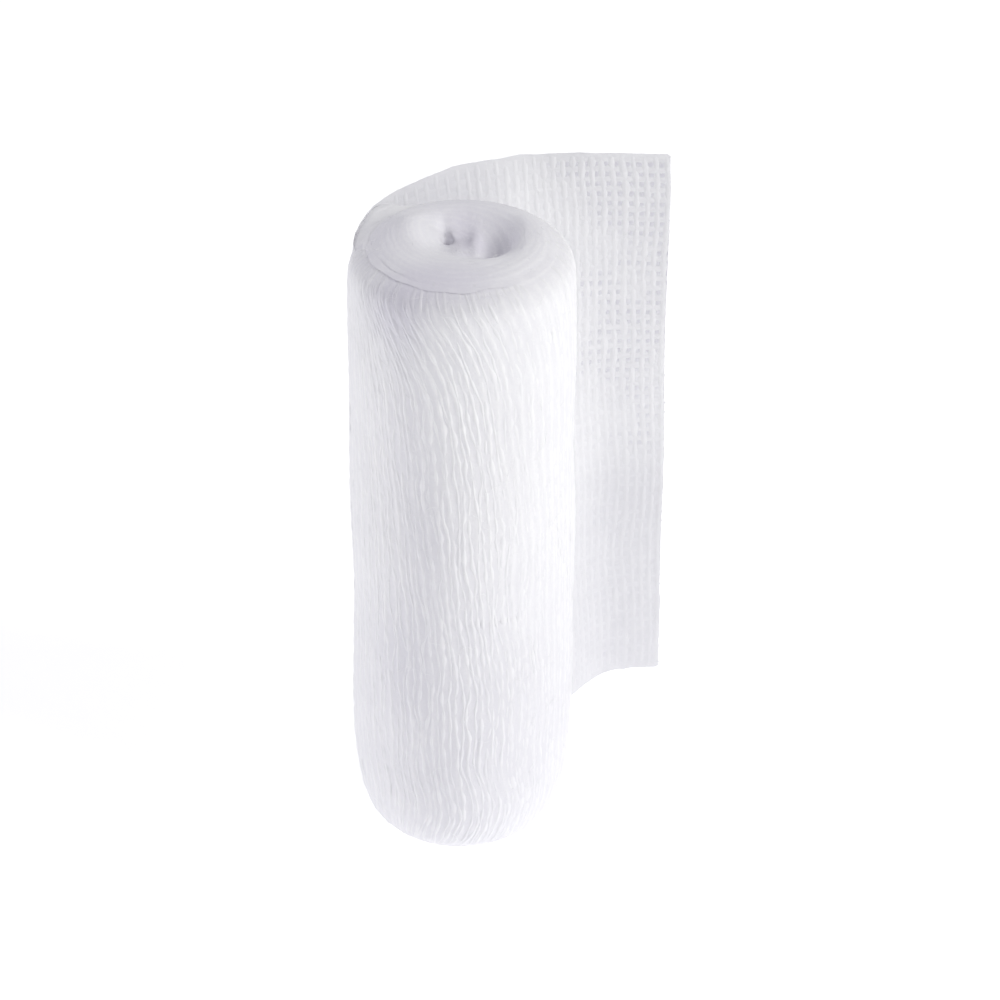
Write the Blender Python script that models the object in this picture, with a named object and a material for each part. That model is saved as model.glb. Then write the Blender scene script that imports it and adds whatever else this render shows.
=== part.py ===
"""A wound roll of gauze bandage that stands on its end, with the loose end of its outer turn.

Metres, +Z up. The roll's axis is the Z axis and its flat foot rests on Z = 0. The strip is wound
clockwise, seen from above. Its outer turn comes round the front (-Y) to the left (-X), leaves the
roll there, passes behind it (+Y) and ends in a cut edge at the right (+X).
"""

import math

import bmesh
import bpy
import numpy as np

MM = 0.001

# The strip of gauze.
STRIP_WIDTH = 100.0 * MM
LOOSE_LENGTH = 69.5 * MM
CLOTH_THICKNESS = 1.0 * MM
CLEARANCE = 0.3 * MM

# The inner turns stand out below the lower selvedge of the outer turn by this much.
LOWER_SELVEDGE = 4.6 * MM

# The outer turn starts as a step in the roll's side, as deep as the cloth and its clearance.
TURN_STEP = CLOTH_THICKNESS + CLEARANCE

# The wound form, as half of its section, from the edge of the flat foot up the side, over the
# upper rim and the crest of the end, and down into the hollow at its heart.
# Columns: radius in mm, height in mm, and how much of the outer turn's step shows there, 0 to 1.
ROLL_SECTION = (
    (13.4, 0.0, 0.0),
    (14.5, 0.4, 0.0),
    (15.5, 1.4, 0.0),
    (16.4, 3.2, 0.3),
    (17.3, 6.2, 0.8),
    (18.0, 10.5, 1.0),
    (18.4, 16.5, 1.0),
    (18.6, 26.0, 1.0),
    (18.5, 40.0, 1.0),
    (18.6, 56.0, 1.0),
    (18.5, 72.0, 1.0),
    (18.6, 86.0, 1.0),
    (18.6, 96.0, 1.0),
    (18.5, 100.5, 1.0),
    (18.2, 103.0, 1.0),
    (17.4, 104.6, 0.9),
    (15.9, 105.8, 0.4),
    (13.8, 106.9, 0.0),
    (11.7, 107.7, 0.0),
    (9.9, 107.7, 0.0),
    (8.4, 106.6, 0.0),
    (7.2, 104.6, 0.0),
    (6.1, 102.4, 0.0),
    (4.8, 101.0, 0.0),
    (3.2, 100.3, 0.0),
    (1.5, 100.1, 0.0),
)
ROWS_PER_SPAN = 2
COLUMNS_ROUND = 60

# The main turns show on the upper end as a shallow spiral ripple.
RIPPLE_PITCH = 3.8 * MM
RIPPLE_HEIGHT = 0.4 * MM
RIPPLE_FROM_RADIUS = 3.0 * MM
RIPPLE_TO_RADIUS = 17.0 * MM

# The lower end leans a little to the left, and the roll isn't quite round: it is narrower from
# side to side than from front to back, with low lumps that wind slowly up its side.
LEAN_SHIFT = -0.6 * MM
LEAN_BELOW = 40.0 * MM
OVAL_DEPTH = 0.12 * MM
LUMP_DEPTH = 0.10 * MM
LUMPS_ROUND = 3
LUMP_RISE = 9.0 * MM

# The loose end, at distances along the strip from where it leaves the roll's side.
# Columns: distance in mm; direction from the roll's axis in degrees, counted from +X towards +Y,
# and clearance from the roll in mm, first of the upper selvedge and then of the lower one.
LOOSE_COURSE = (
    (0.0, 179.0, 0.0, 179.0, 0.0),
    (9.0, 152.2, 0.5, 151.0, 0.0),
    (18.0, 127.4, 3.3, 123.0, 0.0),
    (27.0, 106.5, 6.5, 95.0, 0.0),
    (34.0, 93.2, 9.8, 73.5, 0.2),
    (39.0, 84.2, 11.9, 60.5, 2.2),
    (44.0, 76.1, 14.2, 54.0, 6.3),
    (49.0, 69.0, 16.6, 52.3, 11.4),
    (54.0, 62.2, 18.9, 52.6, 16.1),
    (59.0, 56.0, 21.4, 51.4, 20.6),
    (64.0, 50.1, 24.4, 47.8, 24.4),
    (69.5, 44.1, 27.9, 44.1, 27.9),
)
LOOSE_COLUMNS = 40
LOOSE_ROWS = 16
# Cloth that stands this far off the roll no longer follows the shape of its side, and between
# these heights and its selvedges it goes on straight.
FREE_OF_ROLL = 6.0 * MM
HUGS_FROM = 7.5 * MM
HUGS_TO = 101.0 * MM

GAUZE_COLOUR = (0.86, 0.86, 0.89, 1.0)
WOUND_GAUZE_COLOUR = (0.80, 0.80, 0.85, 1.0)
GAUZE_ROUGHNESS = 0.95


def clear_scene():
    """Removes whatever the scene holds."""
    for item in list(bpy.data.objects):
        bpy.data.objects.remove(item, do_unlink=True)


def curve_through(stations, values, at):
    """The smooth curve through values at their stations, a natural cubic spline, read at `at`."""
    stations = np.asarray(stations, float)
    values = np.asarray(values, float)
    spans = np.diff(stations)
    rises = np.diff(values, axis=0) / spans[:, None]
    count = len(stations)
    system = np.eye(count)
    target = np.zeros_like(values)
    for i in range(1, count - 1):
        system[i, i - 1 : i + 2] = spans[i - 1], 2 * (spans[i - 1] + spans[i]), spans[i]
        target[i] = 6 * (rises[i] - rises[i - 1])
    bend = np.linalg.solve(system, target)
    at = np.clip(np.asarray(at, float), stations[0], stations[-1])
    i = np.clip(np.searchsorted(stations, at, side="right") - 1, 0, count - 2)
    span = spans[i][:, None]
    after = (at - stations[i])[:, None]
    before = span - after
    return (
        bend[i] * before**3 / (6 * span)
        + bend[i + 1] * after**3 / (6 * span)
        + (values[i] / span - bend[i] * span / 6) * before
        + (values[i + 1] / span - bend[i + 1] * span / 6) * after
    )


def section_rows():
    """The roll's section, row by row: radius and height in metres, and the share of the step."""
    table = np.array(ROLL_SECTION) * (MM, MM, 1.0)
    reach = np.linalg.norm(np.diff(table[:, :2], axis=0), axis=1)
    stations = np.concatenate([[0.0], np.cumsum(reach)])
    parts = [
        np.linspace(a, b, ROWS_PER_SPAN, endpoint=False)
        for a, b in zip(stations, stations[1:])
    ]
    rows = curve_through(stations, table, np.append(np.concatenate(parts), stations[-1]))
    rows[:, 1] = np.maximum(rows[:, 1], 0.0)
    rows[:, 2] = np.clip(rows[:, 2], 0.0, 1.0)
    return rows


SECTION = section_rows()
CREST_ROW = int(np.argmax(SECTION[:, 1]))


def unevenness(height, turn):
    """How far the roll's side stands out of round at a height and a share of the turn."""
    angle = 2 * math.pi * turn
    lumps = LUMP_DEPTH * math.sin(LUMPS_ROUND * angle + height / LUMP_RISE)
    return lumps - OVAL_DEPTH * math.cos(2 * angle)


def lean(height):
    """How far the roll's lower end stands to one side at a height."""
    return LEAN_SHIFT * max(0.0, 1 - height / LEAN_BELOW) ** 1.5


def roll_point(radius, height, step_share, turn):
    """A point on the roll; turn runs from 0, where the loose end leaves, clockwise to 1."""
    radius -= TURN_STEP * step_share * (1 - turn)
    radius += unevenness(height, turn) * step_share
    across = (radius - RIPPLE_FROM_RADIUS) / (RIPPLE_TO_RADIUS - RIPPLE_FROM_RADIUS)
    if height > STRIP_WIDTH and 0 < across < 1:
        phase = 2 * math.pi * (radius / RIPPLE_PITCH + turn)
        height += RIPPLE_HEIGHT * math.sin(math.pi * across) * math.cos(phase)
    angle = math.pi - 2 * math.pi * turn
    return (radius * math.cos(angle) + lean(height), radius * math.sin(angle), height)


def side_radius(height, turn):
    """The radius of the roll's side at a height between the selvedges."""
    side = SECTION[: CREST_ROW + 1]
    radius = float(np.interp(height, side[:, 1], side[:, 0]))
    step_share = float(np.interp(height, side[:, 1], side[:, 2]))
    radius -= TURN_STEP * step_share * (1 - turn)
    return radius + unevenness(height, turn) * step_share


def gauze_material(name, colour):
    """A matt white cotton finish."""
    material = bpy.data.materials.new(name)
    material.use_nodes = True
    shader = material.node_tree.nodes["Principled BSDF"]
    shader.inputs["Base Color"].default_value = colour
    shader.inputs["Roughness"].default_value = GAUZE_ROUGHNESS
    shader.inputs["Metallic"].default_value = 0.0
    return material


def place(name, mesh_builder, material):
    """Makes the named object from a finished bmesh and gives it its material."""
    mesh = bpy.data.meshes.new(name)
    bmesh.ops.recalc_face_normals(mesh_builder, faces=mesh_builder.faces)
    mesh_builder.to_mesh(mesh)
    mesh_builder.free()
    mesh.shade_smooth()
    mesh.materials.append(material)
    item = bpy.data.objects.new(name, mesh)
    bpy.context.scene.collection.objects.link(item)
    return item


def build_wound_roll():
    """The wound form: rings of the section, joined round, with a flat foot and a closed hollow."""
    builder = bmesh.new()
    turns = np.linspace(0.0, 1.0, COLUMNS_ROUND + 1)
    rings = [
        [builder.verts.new(roll_point(radius, height, share, turn)) for turn in turns]
        for radius, height, share in SECTION
    ]
    for lower, upper in zip(rings, rings[1:]):
        for k in range(-1, COLUMNS_ROUND):
            builder.faces.new((lower[k], lower[k + 1], upper[k + 1], upper[k]))
    for ring in (rings[0], rings[-1]):
        builder.faces.new(ring)
    # Where the step has faded out, its two sides are one line.
    bmesh.ops.remove_doubles(builder, verts=builder.verts, dist=0.001 * MM)
    bmesh.ops.dissolve_degenerate(builder, edges=builder.edges, dist=0.001 * MM)
    bmesh.ops.triangulate(builder, faces=builder.faces)
    return place("wound_roll", builder, gauze_material("wound_gauze", WOUND_GAUZE_COLOUR))


def loose_point(course, up):
    """A point of the cloth's middle surface; up runs from the lower selvedge, 0, to the upper, 1."""
    upper_angle, upper_gap, lower_angle, lower_gap = course
    height = LOWER_SELVEDGE + up * STRIP_WIDTH
    angle = lower_angle + (upper_angle - lower_angle) * up
    gap = max(0.0, lower_gap + (upper_gap - lower_gap) * up)
    turn = (math.pi - angle) / (2 * math.pi)
    straight = min(1.0, gap / FREE_OF_ROLL)
    straight *= straight * (3 - 2 * straight)
    side = side_radius(min(max(height, HUGS_FROM), HUGS_TO), turn)
    free_side = side_radius(STRIP_WIDTH / 2, turn)
    radius = side + (free_side - side) * straight + CLEARANCE + CLOTH_THICKNESS / 2 + gap
    shift = lean(height) * (1 - straight)
    return (radius * math.cos(angle) + shift, radius * math.sin(angle), height)


def build_loose_end():
    """The sheet that leaves the roll's side, stands clear behind it and ends in the cut edge."""
    table = np.array(LOOSE_COURSE)
    courses = table[:, 1:].copy()
    courses[:, (0, 2)] = np.radians(courses[:, (0, 2)])
    courses[:, (1, 3)] *= MM
    along = np.linspace(0.0, LOOSE_LENGTH, LOOSE_COLUMNS + 1)
    courses = curve_through(table[:, 0] * MM, courses, along)
    # Rows lie closer together towards the selvedges, where the cloth follows the roll's rims.
    ups = (1 - np.cos(np.linspace(0.0, math.pi, LOOSE_ROWS + 1))) / 2
    builder = bmesh.new()
    grid = [[builder.verts.new(loose_point(course, up)) for up in ups] for course in courses]
    for near, far in zip(grid, grid[1:]):
        for j in range(LOOSE_ROWS):
            builder.faces.new((near[j], far[j], far[j + 1], near[j + 1]))
    item = place("loose_end", builder, gauze_material("gauze", GAUZE_COLOUR))
    thicken = item.modifiers.new("thickness", "SOLIDIFY")
    thicken.thickness = CLOTH_THICKNESS
    thicken.offset = 0.0
    thicken.use_even_offset = True
    return item


clear_scene()
build_wound_roll()
build_loose_end()
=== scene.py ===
"""The looks of a wound roll of gauze bandage with its loose outer end.

Metres, +Z up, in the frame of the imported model. The roll stands on its end. Its outer turn comes
round the front (-Y) to the left (-X), leaves the roll there, passes behind it and ends in a cut
edge at the right (+X). The yarns up the strip's width are modelled one by one, and so are the
yarns along the loose end and the fine fibres. On the roll's side the yarns along the strip are
soft ridges of its cloth.
"""

import logging
import math
from dataclasses import dataclass, field
from enum import Enum

import bmesh
import bpy
import numpy as np
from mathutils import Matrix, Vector


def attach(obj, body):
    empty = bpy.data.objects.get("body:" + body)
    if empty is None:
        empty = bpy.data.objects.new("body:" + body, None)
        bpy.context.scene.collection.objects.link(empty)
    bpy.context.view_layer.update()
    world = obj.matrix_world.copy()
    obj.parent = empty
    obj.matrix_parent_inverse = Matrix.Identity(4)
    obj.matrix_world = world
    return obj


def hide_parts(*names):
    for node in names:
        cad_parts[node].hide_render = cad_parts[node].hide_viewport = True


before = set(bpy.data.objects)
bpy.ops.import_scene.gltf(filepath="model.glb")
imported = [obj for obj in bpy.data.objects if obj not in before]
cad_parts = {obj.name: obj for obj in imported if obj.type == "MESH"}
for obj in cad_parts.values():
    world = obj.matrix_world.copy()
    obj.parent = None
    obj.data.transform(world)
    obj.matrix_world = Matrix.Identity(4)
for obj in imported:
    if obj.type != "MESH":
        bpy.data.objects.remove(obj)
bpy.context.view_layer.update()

LOG = logging.getLogger("gauze_roll")
BODY = "root"
WEAVE_MAP = "weave"
MM = 0.001
TAU = 2 * math.pi

Array = np.ndarray
Colour = tuple[float, float, float]
Socket = bpy.types.NodeSocket
Material = bpy.types.Material
Piece = bpy.types.Object

# The strip, as in the solids.
STRIP_WIDTH = 100.0 * MM
LOOSE_LENGTH = 69.5 * MM
CLOTH_THICKNESS = 1.0 * MM
CLEARANCE = 0.3 * MM
LOWER_SELVEDGE = 4.6 * MM
SOLID_STEP = CLOTH_THICKNESS + CLEARANCE

# The radius where the cloth of the roll's side gives way to that of the upper end.
RIM_RADIUS = 16.0 * MM

# The length of a yarn's thick places, and of the small ones on them.
SLUB = 5.0 * MM
NUB = 1.6 * MM

# The range that most of a noise pattern lies in, and the roughness of fuzzy cloth over it.
NOISE_RANGE = (0.3, 0.7)
MATT_RANGE = (0.86, 1.0)

# The wound form, as half of its section, from the foot's edge up the side, over the upper rim and
# the crest, and down into the hollow at its heart.
# Columns: radius in mm, height in mm, and how much of the outer turn's step shows there, 0 to 1.
ROLL_SECTION = (
    (13.4, 0.0, 0.0),
    (14.5, 0.4, 0.0),
    (15.5, 1.4, 0.0),
    (16.4, 3.2, 0.3),
    (17.3, 6.2, 0.8),
    (18.0, 10.5, 1.0),
    (18.4, 16.5, 1.0),
    (18.6, 26.0, 1.0),
    (18.5, 40.0, 1.0),
    (18.6, 56.0, 1.0),
    (18.5, 72.0, 1.0),
    (18.6, 86.0, 1.0),
    (18.6, 96.0, 1.0),
    (18.5, 100.5, 1.0),
    (18.2, 103.0, 1.0),
    (17.4, 104.6, 0.9),
    (15.9, 105.8, 0.4),
    (13.8, 106.9, 0.0),
    (11.7, 107.7, 0.0),
    (9.9, 107.7, 0.0),
    (8.4, 106.6, 0.0),
    (7.2, 104.6, 0.0),
    (6.1, 102.4, 0.0),
    (4.8, 101.0, 0.0),
    (3.2, 100.3, 0.0),
    (1.5, 100.1, 0.0),
)

# The loose end, at distances along the strip from where it leaves the roll's side.
# Columns: distance in mm; direction from the roll's axis in degrees, counted from +X towards +Y,
# and clearance from the roll in mm, first of the upper selvedge and then of the lower one.
LOOSE_COURSE = (
    (0.0, 179.0, 0.0, 179.0, 0.0),
    (9.0, 152.2, 0.5, 151.0, 0.0),
    (18.0, 127.4, 3.3, 123.0, 0.0),
    (27.0, 106.5, 6.5, 95.0, 0.0),
    (34.0, 93.2, 9.8, 73.5, 0.2),
    (39.0, 84.2, 11.9, 60.5, 2.2),
    (44.0, 76.1, 14.2, 54.0, 6.3),
    (49.0, 69.0, 16.6, 52.3, 11.4),
    (54.0, 62.2, 18.9, 52.6, 16.1),
    (59.0, 56.0, 21.4, 51.4, 20.6),
    (64.0, 50.1, 24.4, 47.8, 24.4),
    (69.5, 44.1, 27.9, 44.1, 27.9),
)

# How the up yarns of the wound strip lean as they come down the front of the roll.
# Columns: height in mm, shift to the right in mm.
UP_YARN_COURSE = (
    (0.0, 1.9),
    (4.5, 3.7),
    (8.5, 4.7),
    (12.5, 4.3),
    (17.5, 3.0),
    (25.0, 2.5),
    (37.0, 2.5),
    (43.0, 2.2),
    (50.0, 1.4),
    (60.0, 0.6),
    (75.0, -0.5),
    (84.0, -1.5),
    (90.0, -2.5),
    (95.0, -4.2),
    (100.0, -6.7),
    (104.5, -9.4),
    (108.0, -10.6),
)

# The soft folds in the hollow of the upper end: the bulge on its left, the open heart of the
# winding, the trough behind the heart, a low fold in front of it, the fold between the heart and
# the pocket on the right, the pocket, and the fold beyond it.
# Columns: x, y, half width from side to side, half width from front to back and height, in mm.
HOLLOW_FOLDS = (
    (-7.1, 2.6, 4.0, 3.9, 2.3),
    (-2.5, 2.3, 0.8, 1.1, -2.4),
    (-2.9, 4.6, 0.9, 2.6, -0.8),
    (-0.4, -1.5, 1.5, 2.6, 0.4),
    (2.2, 1.6, 1.1, 4.2, 0.8),
    (5.6, 1.4, 2.2, 3.8, -0.7),
    (9.2, 0.8, 1.1, 3.8, 0.7),
)

# Soft spots of painted shade on the cloth, on the roll and on the loose end, and a plain darkening
# over their lower parts.
# Columns: x, y, z and radius across, along y and up, in mm, and strength, 0 to 1.
# On the roll's side: painted shade down the front left, where the side turns away from the key
# light; the last row darkens the lower part.
ROLL_SHADE_SPOTS = (
    (-9.0, -16.0, 40.0, 6.0, 8.0, 14.0, 0.55),
    (-8.0, -16.0, 78.0, 5.0, 8.0, 26.0, 0.45),
    (-11.0, -14.0, 101.0, 5.0, 7.0, 7.0, 0.55),
    (-5.0, -17.0, 60.0, 4.0, 6.0, 14.0, 0.35),
    (4.0, -16.0, 14.0, 34.0, 34.0, 44.0, 0.65),
)
# On the upper end: painted shade on the left and front slopes, in the pocket and the heart of the
# hollow, at the back, and spilling over the front left rim.
END_SHADE_SPOTS = (
    (-13.0, -1.0, 106.0, 6.0, 11.0, 8.0, 0.38),
    (-4.0, -12.5, 106.0, 10.0, 5.0, 8.0, 0.78),
    (5.0, 1.5, 104.0, 5.0, 6.0, 8.0, 0.62),
    (0.0, 3.0, 103.0, 3.6, 7.0, 7.0, 1.0),
    (0.0, 10.0, 107.0, 9.0, 5.0, 6.0, 0.3),
    (-9.0, -14.0, 102.0, 6.0, 6.0, 6.0, 0.3),
)
# On the loose end: painted shade in the gap between it and the roll, at the back left; the other
# rows darken its lower part and its middle.
LOOSE_SHADE_SPOTS = (
    (-6.5, 24.0, 99.0, 13.0, 16.0, 14.0, 0.66),
    (22.0, 30.0, 6.0, 24.0, 24.0, 40.0, 0.64),
    (29.0, 33.0, 40.0, 9.0, 12.0, 10.0, 0.22),
    (20.0, 30.0, 55.0, 12.0, 14.0, 45.0, 0.20),
)


class Grain(Enum):
    """The way that a yarn's fibres run, as the stretch of its fine pattern in x, y and z."""

    UP = (1.0, 1.0, 0.12)
    ROUND = (0.15, 0.15, 1.0)
    ANY = (1.0, 1.0, 1.0)


class Section(Enum):
    """A yarn's section, as shares of its half width and of how far it stands up."""

    ON_CLOTH = ((-1.35, -1.3), (-0.5, 0.62), (0.0, 1.0), (0.5, 0.62), (1.35, -1.3))
    FREE = ((-1.0, 0.0), (-0.45, 0.75), (0.0, 1.0), (0.45, 0.75), (1.0, 0.0))


@dataclass(frozen=True)
class ShadeSpots:
    """Soft spots of painted shade and darkening, of one tint: the rows of a table, and what a full
    one multiplies colours by.
    """

    rows: tuple
    tint: Colour


class Slot(Enum):
    """The record's material slots."""

    WOUND = "wound_gauze"
    LOOSE = "gauze"


class Seed(Enum):
    """The seeds of the random numbers, one for each piece that has its own."""

    OUTER_YARNS = 101
    UNDER_YARNS = 102
    TURN_EDGES = 104
    SIDE = 105
    END = 106
    LOOSE_UP_YARNS = 201
    LOOSE_ALONG_YARNS = 202
    ROLL_FIBRES = 301
    LOOSE_FIBRES = 302

    def draws(self) -> np.random.Generator:
        """A fresh source of random numbers."""
        return np.random.default_rng(self.value)


# --- Curves and arrays ---


def curve_through(stations: Array, values: Array, at: Array) -> Array:
    """The natural cubic spline through values at their stations.

    Args:
        stations: Increasing positions.
        values: One row of values for each station.
        at: Where the spline is read.

    Returns:
        One row of values for each position in `at`.
    """
    stations = np.asarray(stations, float)
    values = np.asarray(values, float)
    spans = np.diff(stations)
    rises = np.diff(values, axis=0) / spans[:, None]
    count = len(stations)
    system = np.eye(count)
    target = np.zeros_like(values)
    for i in range(1, count - 1):
        system[i, i - 1 : i + 2] = spans[i - 1], 2 * (spans[i - 1] + spans[i]), spans[i]
        target[i] = 6 * (rises[i] - rises[i - 1])
    bend = np.linalg.solve(system, target)
    at = np.clip(np.asarray(at, float), stations[0], stations[-1])
    i = np.clip(np.searchsorted(stations, at, side="right") - 1, 0, count - 2)
    span = spans[i][:, None]
    after = (at - stations[i])[:, None]
    before = span - after
    return (
        bend[i] * before**3 / (6 * span)
        + bend[i + 1] * after**3 / (6 * span)
        + (values[i] / span - bend[i] * span / 6) * before
        + (values[i + 1] / span - bend[i + 1] * span / 6) * after
    )


def unit(vectors: Array) -> Array:
    """The vectors made one long."""
    return vectors / np.maximum(np.linalg.norm(vectors, axis=-1, keepdims=True), 1e-12)


def smooth_step(value: Array) -> Array:
    """0 below 0, 1 above 1 and a soft rise between."""
    t = np.clip(value, 0.0, 1.0)
    return t * t * (3 - 2 * t)


@dataclass(frozen=True)
class Ramp:
    """A soft rise from 0 to 1, or a soft fall from 1 to 0 where its run is negative.

    Attributes:
        start: Where it is still 0.
        run: How far from there it is 1, with its sign.
    """

    start: float
    run: float

    def at(self, value: Array) -> Array:
        """The ramp at values."""
        return smooth_step((value - self.start) / self.run)


@dataclass(frozen=True)
class Band:
    """A soft stretch that is 1 between a rise and a fall."""

    rise: Ramp
    fall: Ramp

    def at(self, value: Array) -> Array:
        """The band at values."""
        return self.rise.at(value) * self.fall.at(value)


@dataclass(frozen=True)
class Ripples:
    """A soft random field round the roll: a sum of waves that close on themselves.

    Attributes:
        strength: About how far the field swings to each side.
        most_round: The most waves that go once round.
        length: The shortest wave up the roll, in metres.
        seed: The seed of its random numbers.
        count: How many waves are summed.
    """

    strength: float
    most_round: int
    length: float
    seed: int
    count: int = 14

    def at(self, turn: Array, height: Array) -> Array:
        """Reads the field.

        Args:
            turn: Shares of a turn.
            height: Heights in metres.

        Returns:
            The field there.
        """
        rng = np.random.default_rng(self.seed)
        total = 0.0
        for _ in range(self.count):
            waves = rng.integers(0, self.most_round + 1)
            rise = rng.uniform(-1, 1) / self.length
            phase = rng.uniform(0, 1)
            total = total + np.cos(TAU * (waves * turn + rise * height + phase))
        return self.strength * total * math.sqrt(2 / self.count) * 0.7


def wander(
    rng: np.random.Generator, threads: int, along: Array, length: float, count: int = 6
) -> Array:
    """A soft random course for each yarn, between about -1 and 1.

    Args:
        rng: The source of random numbers.
        threads: How many yarns.
        along: Distances along the yarn, one row for all or one for each.
        length: The shortest wave in metres.
        count: How many waves are summed.

    Returns:
        One row for each yarn.
    """
    total = np.zeros((threads, along.shape[-1]))
    for _ in range(count):
        rate = rng.uniform(0.25, 1.0, (threads, 1)) / length
        phase = rng.uniform(0, 1, (threads, 1))
        total += np.cos(TAU * (rate * along + phase))
    return total * math.sqrt(2 / count) * 0.6


# --- Meshes ---


def link(name: str, data: bpy.types.ID) -> Piece:
    """Makes an object in the scene."""
    item = bpy.data.objects.new(name, data)
    bpy.context.scene.collection.objects.link(item)
    return item


@dataclass
class MeshParts:
    """Points and faces that are gathered before they become one mesh.

    Attributes:
        points: Runs of points.
        quads: The faces with four corners on each run.
        tris: The faces with three corners.
        count: How many points there are so far.
        weave: The running numbers of the yarns at the points, which the finishes read.
    """

    points: list[Array] = field(default_factory=list)
    quads: list[Array] = field(default_factory=list)
    tris: list[Array] = field(default_factory=list)
    count: int = 0
    weave: Array | None = None

    def add(self, points: Array, quads: Array, tris: Array | None = None) -> None:
        """Adds a run of points with the faces on them.

        Args:
            points: Rows of x, y, z.
            quads: Rows of four point numbers, counted from 0 in this run.
            tris: Rows of three point numbers, counted from 0 in this run.
        """
        self.points.append(points.reshape(-1, 3))
        self.quads.append(quads.reshape(-1, 4) + self.count)
        if tris is not None:
            self.tris.append(tris.reshape(-1, 3) + self.count)
        self.count += self.points[-1].shape[0]

    def triangles(self) -> int:
        """How many triangles the faces make."""
        return 2 * sum(map(len, self.quads)) + sum(map(len, self.tris))

    def build(self, name: str, material: Material) -> Piece:
        """Makes the object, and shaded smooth.

        Args:
            name: The piece's name.
            material: Its material.

        Returns:
            The object, linked to the scene.
        """
        points = np.concatenate(self.points)
        quads = np.concatenate(self.quads)
        tris = np.concatenate(self.tris) if self.tris else np.zeros((0, 3), int)
        mesh = bpy.data.meshes.new(name)
        mesh.vertices.add(len(points))
        mesh.vertices.foreach_set("co", points.astype(np.float32).ravel())
        corners = np.concatenate([quads.ravel(), tris.ravel()]).astype(np.int32)
        mesh.loops.add(len(corners))
        mesh.loops.foreach_set("vertex_index", corners)
        sizes = np.concatenate([np.full(len(quads), 4), np.full(len(tris), 3)])
        starts = np.concatenate([[0], np.cumsum(sizes)[:-1]]).astype(np.int32)
        mesh.polygons.add(len(sizes))
        mesh.polygons.foreach_set("loop_start", starts)
        mesh.polygons.foreach_set("use_smooth", np.full(len(sizes), True))
        mesh.update(calc_edges=True)
        if self.weave is not None:
            layer = mesh.uv_layers.new(name=WEAVE_MAP)
            layer.uv.foreach_set("vector", self.weave[corners].astype(np.float32).ravel())
        mesh.validate()
        mesh.materials.append(material)
        LOG.info("%s: %d triangles", name, self.triangles())
        return link(name, mesh)


def grid_quads(rows: int, columns: int, closed: bool = False) -> Array:
    """Faces of a grid of points.

    Args:
        rows: How many rows of points.
        columns: How many points in a row.
        closed: Whether the last column joins the first.

    Returns:
        Rows of four point numbers.
    """
    spans = columns if closed else columns - 1
    row = np.arange(rows - 1)[:, None]
    here = np.arange(spans)[None, :]
    there = (here + 1) % columns
    base = row * columns
    return np.stack(
        [base + here, base + there, base + columns + there, base + columns + here], axis=-1
    ).reshape(-1, 4)


def build_wall(name: str, points: Array, material: Material, weave: Array | None = None) -> Piece:
    """Makes a long wall, closes its two ends, joins its seam and turns its faces outwards.

    Args:
        name: The piece's name.
        points: Its rings of points.
        material: Its material.
        weave: The running numbers of the yarns at its points.

    Returns:
        The piece.
    """
    rows, columns = points.shape[:2]
    parts = MeshParts(weave=weave)
    parts.add(points, grid_quads(rows, columns, closed=True))
    item = parts.build(name, material)
    builder = bmesh.new()
    builder.from_mesh(item.data)
    builder.verts.ensure_lookup_table()
    for start in (0, (rows - 1) * columns):
        builder.faces.new([builder.verts[start + k] for k in range(columns)])
    bmesh.ops.remove_doubles(builder, verts=builder.verts, dist=1.0e-7)
    bmesh.ops.recalc_face_normals(builder, faces=builder.faces)
    builder.to_mesh(item.data)
    builder.free()
    item.data.shade_smooth()
    return item


def tubes(parts: MeshParts, centres: Array, guide: Array, half: Array, sides: int) -> None:
    """Adds round closed fibres along many courses at once.

    Args:
        parts: Where they are added.
        centres: Points, one row for each fibre.
        guide: A direction that the fibre doesn't run along, at each point.
        half: Half the fibre's thickness, at each point.
        sides: How many sides its section has.
    """
    along = unit(np.gradient(centres, axis=1))
    across = unit(np.cross(along, guide))
    wide = across * half[..., None]
    deep = np.cross(across, along) * half[..., None]
    turns = TAU * np.arange(sides) / sides
    rings = (
        centres[:, :, None]
        + wide[:, :, None] * np.cos(turns)[:, None]
        + deep[:, :, None] * np.sin(turns)[:, None]
    )
    threads, rows = centres.shape[:2]
    tip = 0.6
    tips = np.stack([centres[:, 0], centres[:, -1]], axis=1)
    tips[:, 0] -= along[:, 0] * half[:, :1] * tip
    tips[:, 1] += along[:, -1] * half[:, -1:] * tip
    per_fibre = rows * sides + 2
    points = np.concatenate([rings.reshape(threads, -1, 3), tips], axis=1)
    first = (np.arange(threads) * per_fibre)[:, None, None]
    quads = grid_quads(rows, sides, closed=True)[None] + first
    ring = np.arange(sides)
    after = (ring + 1) % sides
    low = np.stack([after, ring, np.full(sides, rows * sides)], axis=-1)
    top = (rows - 1) * sides
    high = np.stack([top + ring, top + after, np.full(sides, rows * sides + 1)], axis=-1)
    tris = np.concatenate([low, high])[None] + first
    parts.add(points, quads, tris)


def strips(
    parts: MeshParts,
    centres: Array,
    normals: Array,
    half_width: Array,
    rise: Array,
    profile: tuple[tuple[float, float], ...],
) -> None:
    """Adds soft yarns that stand up from a cloth, along many courses at once.

    Args:
        parts: Where they are added.
        centres: Points, one row for each yarn.
        normals: The direction that faces out of the cloth, at each point.
        half_width: Half the yarn's width across the cloth, at each point.
        rise: How far it stands up, at each point.
        profile: Its section, as shares of the half width and of the rise.
    """
    along = unit(np.gradient(centres, axis=1))
    across = unit(np.cross(along, normals))
    out = np.cross(across, along)
    sideways, up = np.array(profile).T
    points = (
        centres[:, :, None]
        + across[:, :, None] * (half_width[..., None] * sideways)[..., None]
        + out[:, :, None] * (rise[..., None] * up)[..., None]
    )
    threads, rows, columns = points.shape[:3]
    first = (np.arange(threads) * rows * columns)[:, None, None]
    parts.add(points, grid_quads(rows, columns)[None] + first)


# --- Finishes ---


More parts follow.
